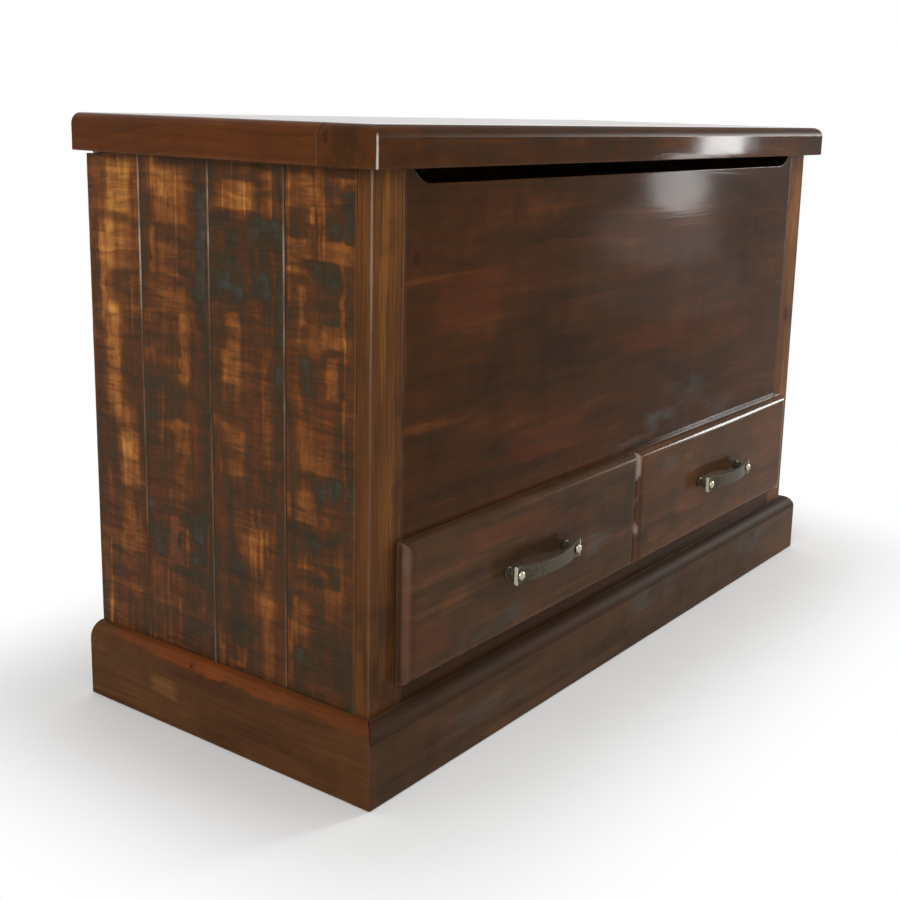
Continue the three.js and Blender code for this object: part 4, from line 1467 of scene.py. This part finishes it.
@dataclass
class Hinge:
    """The continuous hinge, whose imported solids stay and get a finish, and its screws."""

    nodes: tuple[str, ...] = ("hinge_carcass_leaf", "hinge_lid_leaf", "hinge_pin")
    screws: int = 16
    screw_pitch: float = 0.064
    screw_inset: float = 0.011
    screw_turn: float = 1.9
    leaf_gap: float = 0.0006
    head_radius: float = 0.003
    head_height: float = 0.00022
    head_sunk: float = 0.0001
    head_top: float = 0.86
    slot_half: float = 0.00035
    slot_depth: float = 0.0002
    sides: int = 24

    def build(self, carpenter: Carpenter) -> None:
        """Gives the hinge its brass and its screws.

        Args:
            carpenter: Who has the shared effects.
        """
        for node in self.nodes:
            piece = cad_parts[node]
            piece.data.materials.clear()
            brass = HINGE_BRASS.material(carpenter.effects, Board(node, Lay.LENGTHWISE_ON_EDGE))
            piece.data.materials.append(brass)
            LOG.info("hinge: %s", node)
        self._screws("carcass", 1.0, carpenter.effects)
        self._screws("lid", -1.0, carpenter.effects)

    def _screws(self, body: str, side: float, effects: Effects) -> None:
        """Puts a row of slotted screw heads on one leaf.

        Args:
            body: The body that the leaf belongs to.
            side: 1 where the heads look up and -1 where they look down.
            effects: The shared effects.
        """
        low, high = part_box("hinge_pin")
        axis_z = (low.z + high.z) / 2
        leaf = f"hinge_{body}_leaf"
        leaf_low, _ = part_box(leaf)
        bm = bmesh.new()
        for i in range(self.screws):
            x = (i - (self.screws - 1) / 2) * self.screw_pitch
            centre = Vector((x, leaf_low.y + self.screw_inset, axis_z - side * self.leaf_gap / 2))
            over = Matrix.Rotation(0.0 if side > 0 else math.pi, 4, "X")
            turn = over @ Matrix.Rotation(self.screw_turn * i, 4, "Z")
            self._head(bm, Matrix.Translation(centre) @ turn)
        piece = into_piece(bm, f"hinge_screws_{body}")
        piece.data.materials.append(SCREW_BRASS.material(effects, Board(leaf, Lay.LENGTHWISE_FLAT)))
        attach(piece, body)
        LOG.info("hinge: %s", piece.name)

    def _head(self, bm: bmesh.types.BMesh, place: Matrix) -> None:
        """Adds one slotted screw head.

        Args:
            bm: The mesh that it joins.
            place: Where it goes, with its top along the matrix's Z.
        """
        rings = (
            (self.head_radius, -self.head_sunk), (self.head_radius, 0.0),
            (self.head_radius * self.head_top, self.head_height),
        )
        loops = []
        for radius, up in rings:
            turns = (math.tau * i / self.sides for i in range(self.sides))
            loops.append([bm.verts.new((radius * math.cos(t), radius * math.sin(t), up)) for t in turns])
        for lower, upper in zip(loops, loops[1:]):
            for i in range(self.sides):
                j = (i + 1) % self.sides
                bm.faces.new((lower[i], lower[j], upper[j], upper[i]))
        bm.faces.new(tuple(reversed(loops[0])))
        top = bm.faces.new(tuple(loops[-1]))
        parts = [top] + list(top.edges) + list(top.verts)
        for offset in (self.slot_half, -self.slot_half):
            place_on_x = (offset, 0, 0)
            cut = bmesh.ops.bisect_plane(
                bm, geom=parts, dist=FINE_MERGE, plane_co=place_on_x, plane_no=(1, 0, 0),
            )
            parts = cut["geom"]
        faces = [p for p in parts if isinstance(p, bmesh.types.BMFace)]
        slot = [face for face in faces if abs(face.calc_center_median().x) < self.slot_half]
        sunk = bmesh.ops.extrude_face_region(bm, geom=slot)
        floor = [v for v in sunk["geom"] if isinstance(v, bmesh.types.BMVert)]
        bmesh.ops.translate(bm, vec=(0, 0, -self.slot_depth), verts=floor)
        bmesh.ops.delete(bm, geom=slot, context="FACES_ONLY")
        made = {v for loop in loops for v in loop} | set(floor)
        made |= {v for p in parts if p.is_valid for v in getattr(p, "verts", ())}
        bmesh.ops.transform(bm, matrix=place, verts=list(made))


class Outline(Enum):
    """The outline of a soft lamp."""

    SQUARE = "RECTANGLE"
    ROUND = "ELLIPSE"


@dataclass(frozen=True)
class Lamp:
    """A soft lamp: where it stands, what it points at, its width and height, and its power in watts."""

    name: str
    place: Point
    target: Point
    size: tuple[float, float]
    power: float
    outline: Outline = Outline.SQUARE

    def build(self) -> None:
        """Puts the lamp in the scene."""
        data = bpy.data.lights.new(self.name, "AREA")
        data.shape = self.outline.value
        data.size, data.size_y = self.size
        data.energy = self.power
        lamp = bpy.data.objects.new(self.name, data)
        lamp.location = self.place
        lamp.rotation_euler = (Vector(self.target) - lamp.location).to_track_quat("-Z", "Y").to_euler()
        bpy.context.scene.collection.objects.link(lamp)


def window(
    part: str, x: float, z: float, size: tuple[float, float], power: float,
    outline: Outline = Outline.SQUARE,
) -> Lamp:
    """One part of the window whose image lies on the lid and the panel, level with what it lights."""
    return Lamp(f"window_{part}", (x, -1.57, z), (0.1, -0.16, z), size, power, outline)


LAMPS = (
    window("upper", 2.97, 0.87, (0.155, 0.66), 10.5),
    window("sky", 3.52, 1.15, (0.8, 0.66), 72.0),
    window("middle", 2.72, 0.46, (0.2, 0.2), 1.4, Outline.ROUND),
    window("lower", 2.58, 0.3, (0.44, 0.24), 0.38, Outline.ROUND),
    window("foot", 2.6, 0.14, (0.6, 0.34), 0.22, Outline.ROUND),
    Lamp("right_softbox", (1.7, -2.5, 1.3), (0.1, -0.2, 0.35), (1.2, 1.2), 1.0),
    Lamp("left_softbox", (-2.7, -1.0, 1.9), (0.0, 0.0, 0.35), (1.6, 1.6), 42.0),
    Lamp("top_softbox", (0.2, 0.3, 2.7), (0.0, 0.0, 0.5), (2.0, 1.6), 14.0),
)


@dataclass
class Studio:
    """Floor, light and the photograph's camera."""

    floor_half: float = 9.0
    floor_drop: float = 0.0006
    floor_tones: tuple[Colour, Colour] = ((0.9, 0.9, 0.895, 1.0), (0.94, 0.94, 0.935, 1.0))
    floor_roughness: float = 0.9
    floor_specular: float = 0.1
    footprint: tuple[float, float] = (0.54, 0.24)
    fade_from: float = 0.02
    fade_to: float = 0.3
    ambient: float = 0.48
    camera_place: Point = (-1.46802, -1.01938, 0.71914)
    camera_right: Point = (0.58122, -0.81327, 0.02792)
    camera_down: Point = (-0.15213, -0.1423, -0.97806)
    camera_forward: Point = (0.7994, 0.56422, -0.20643)
    lens_mm: float = 51.77
    sensor_mm: float = 36.0
    shift_x: float = -0.0556
    shift_y: float = -0.078

    def build(self) -> None:
        """Makes the stage."""
        self._floor()
        self._world()
        self._camera()
        for lamp in LAMPS:
            lamp.build()
        bpy.context.scene.view_settings.view_transform = "Standard"

    @staticmethod
    def _seen(g: Graph) -> Socket:
        """A mask of the camera's rays and the mirrored and refracted ones, which see a white backdrop.

        Args:
            g: The graph of the floor's material or of the world.

        Returns:
            The mask.
        """
        rays = g.add("ShaderNodeLightPath", {}).outputs
        mirrored = g.math("MAXIMUM", rays["Is Camera Ray"], rays["Is Glossy Ray"])
        return g.math("MAXIMUM", mirrored, rays["Is Transmission Ray"])

    def _floor(self) -> None:
        """A pale floor that fades to the backdrop's white far away."""
        half = self.floor_half
        mesh = bpy.data.meshes.new("floor")
        corners = [(-half, -half, 0), (half, -half, 0), (half, half, 0), (-half, half, 0)]
        mesh.from_pydata(corners, [], [(0, 1, 2, 3)])
        floor = bpy.data.objects.new("floor", mesh)
        floor.location.z = -self.floor_drop
        bpy.context.scene.collection.objects.link(floor)
        material = bpy.data.materials.new("pale_floor")
        g = blank(material)
        point = g.add("ShaderNodeTexCoord", {}).outputs["Object"]
        beyond = g.vector("SUBTRACT", g.vector("ABSOLUTE", point), (*self.footprint, 0.0))
        away = g.length(g.vector("MAXIMUM", beyond, ORIGIN))
        share = g.times(self._seen(g), g.smooth(away, self.fade_from, self.fade_to))
        colour = g.blend(g.noise(point, 9.0, 3.0), *self.floor_tones)
        inputs = {
            "Base Color": colour, "Roughness": self.floor_roughness, "Specular IOR Level": self.floor_specular,
        }
        plain = g.add("ShaderNodeBsdfPrincipled", inputs)
        white = g.add("ShaderNodeEmission", {"Color": WHITE, "Strength": 1.0})
        mixed = g.add("ShaderNodeMixShader", {0: share, 1: plain.outputs[0], 2: white.outputs[0]})
        g.add("ShaderNodeOutputMaterial", {"Surface": mixed.outputs[0]})
        mesh.materials.append(material)

    def _world(self) -> None:
        """White where it is seen, and a soft grey light for the rest."""
        world = bpy.data.worlds.new("backdrop")
        g = blank(world)
        strength = g.between(self._seen(g), self.ambient, 1.0)
        background = g.add("ShaderNodeBackground", {"Color": WHITE, "Strength": strength})
        g.add("ShaderNodeOutputWorld", {"Surface": background.outputs[0]})
        bpy.context.scene.world = world

    def _camera(self) -> None:
        """The camera that took the photograph."""
        data = bpy.data.cameras.new("photo_camera")
        data.lens, data.sensor_width = self.lens_mm, self.sensor_mm
        data.shift_x, data.shift_y = self.shift_x, self.shift_y
        camera = bpy.data.objects.new("photo_camera", data)
        axes = (self.camera_right, self.camera_down, self.camera_forward)
        right, down, forward = (Vector(axis).normalized() for axis in axes)
        turn = Matrix((right, -down, -forward)).transposed()
        camera.matrix_world = Matrix.Translation(self.camera_place) @ turn.to_4x4()
        bpy.context.scene.collection.objects.link(camera)
        bpy.context.scene.camera = camera


def main() -> None:
    """Builds the chest and its stage."""
    logging.basicConfig(level=logging.INFO, format="%(message)s")
    carpenter = Carpenter(Effects())
    for assembly in (Sides(), Front(), Inside(), Plinth(), Lid(), LEFT_DRAWER, RIGHT_DRAWER, Hinge()):
        assembly.build(carpenter)
    Studio().build()


if __name__ == "__main__":
    main()
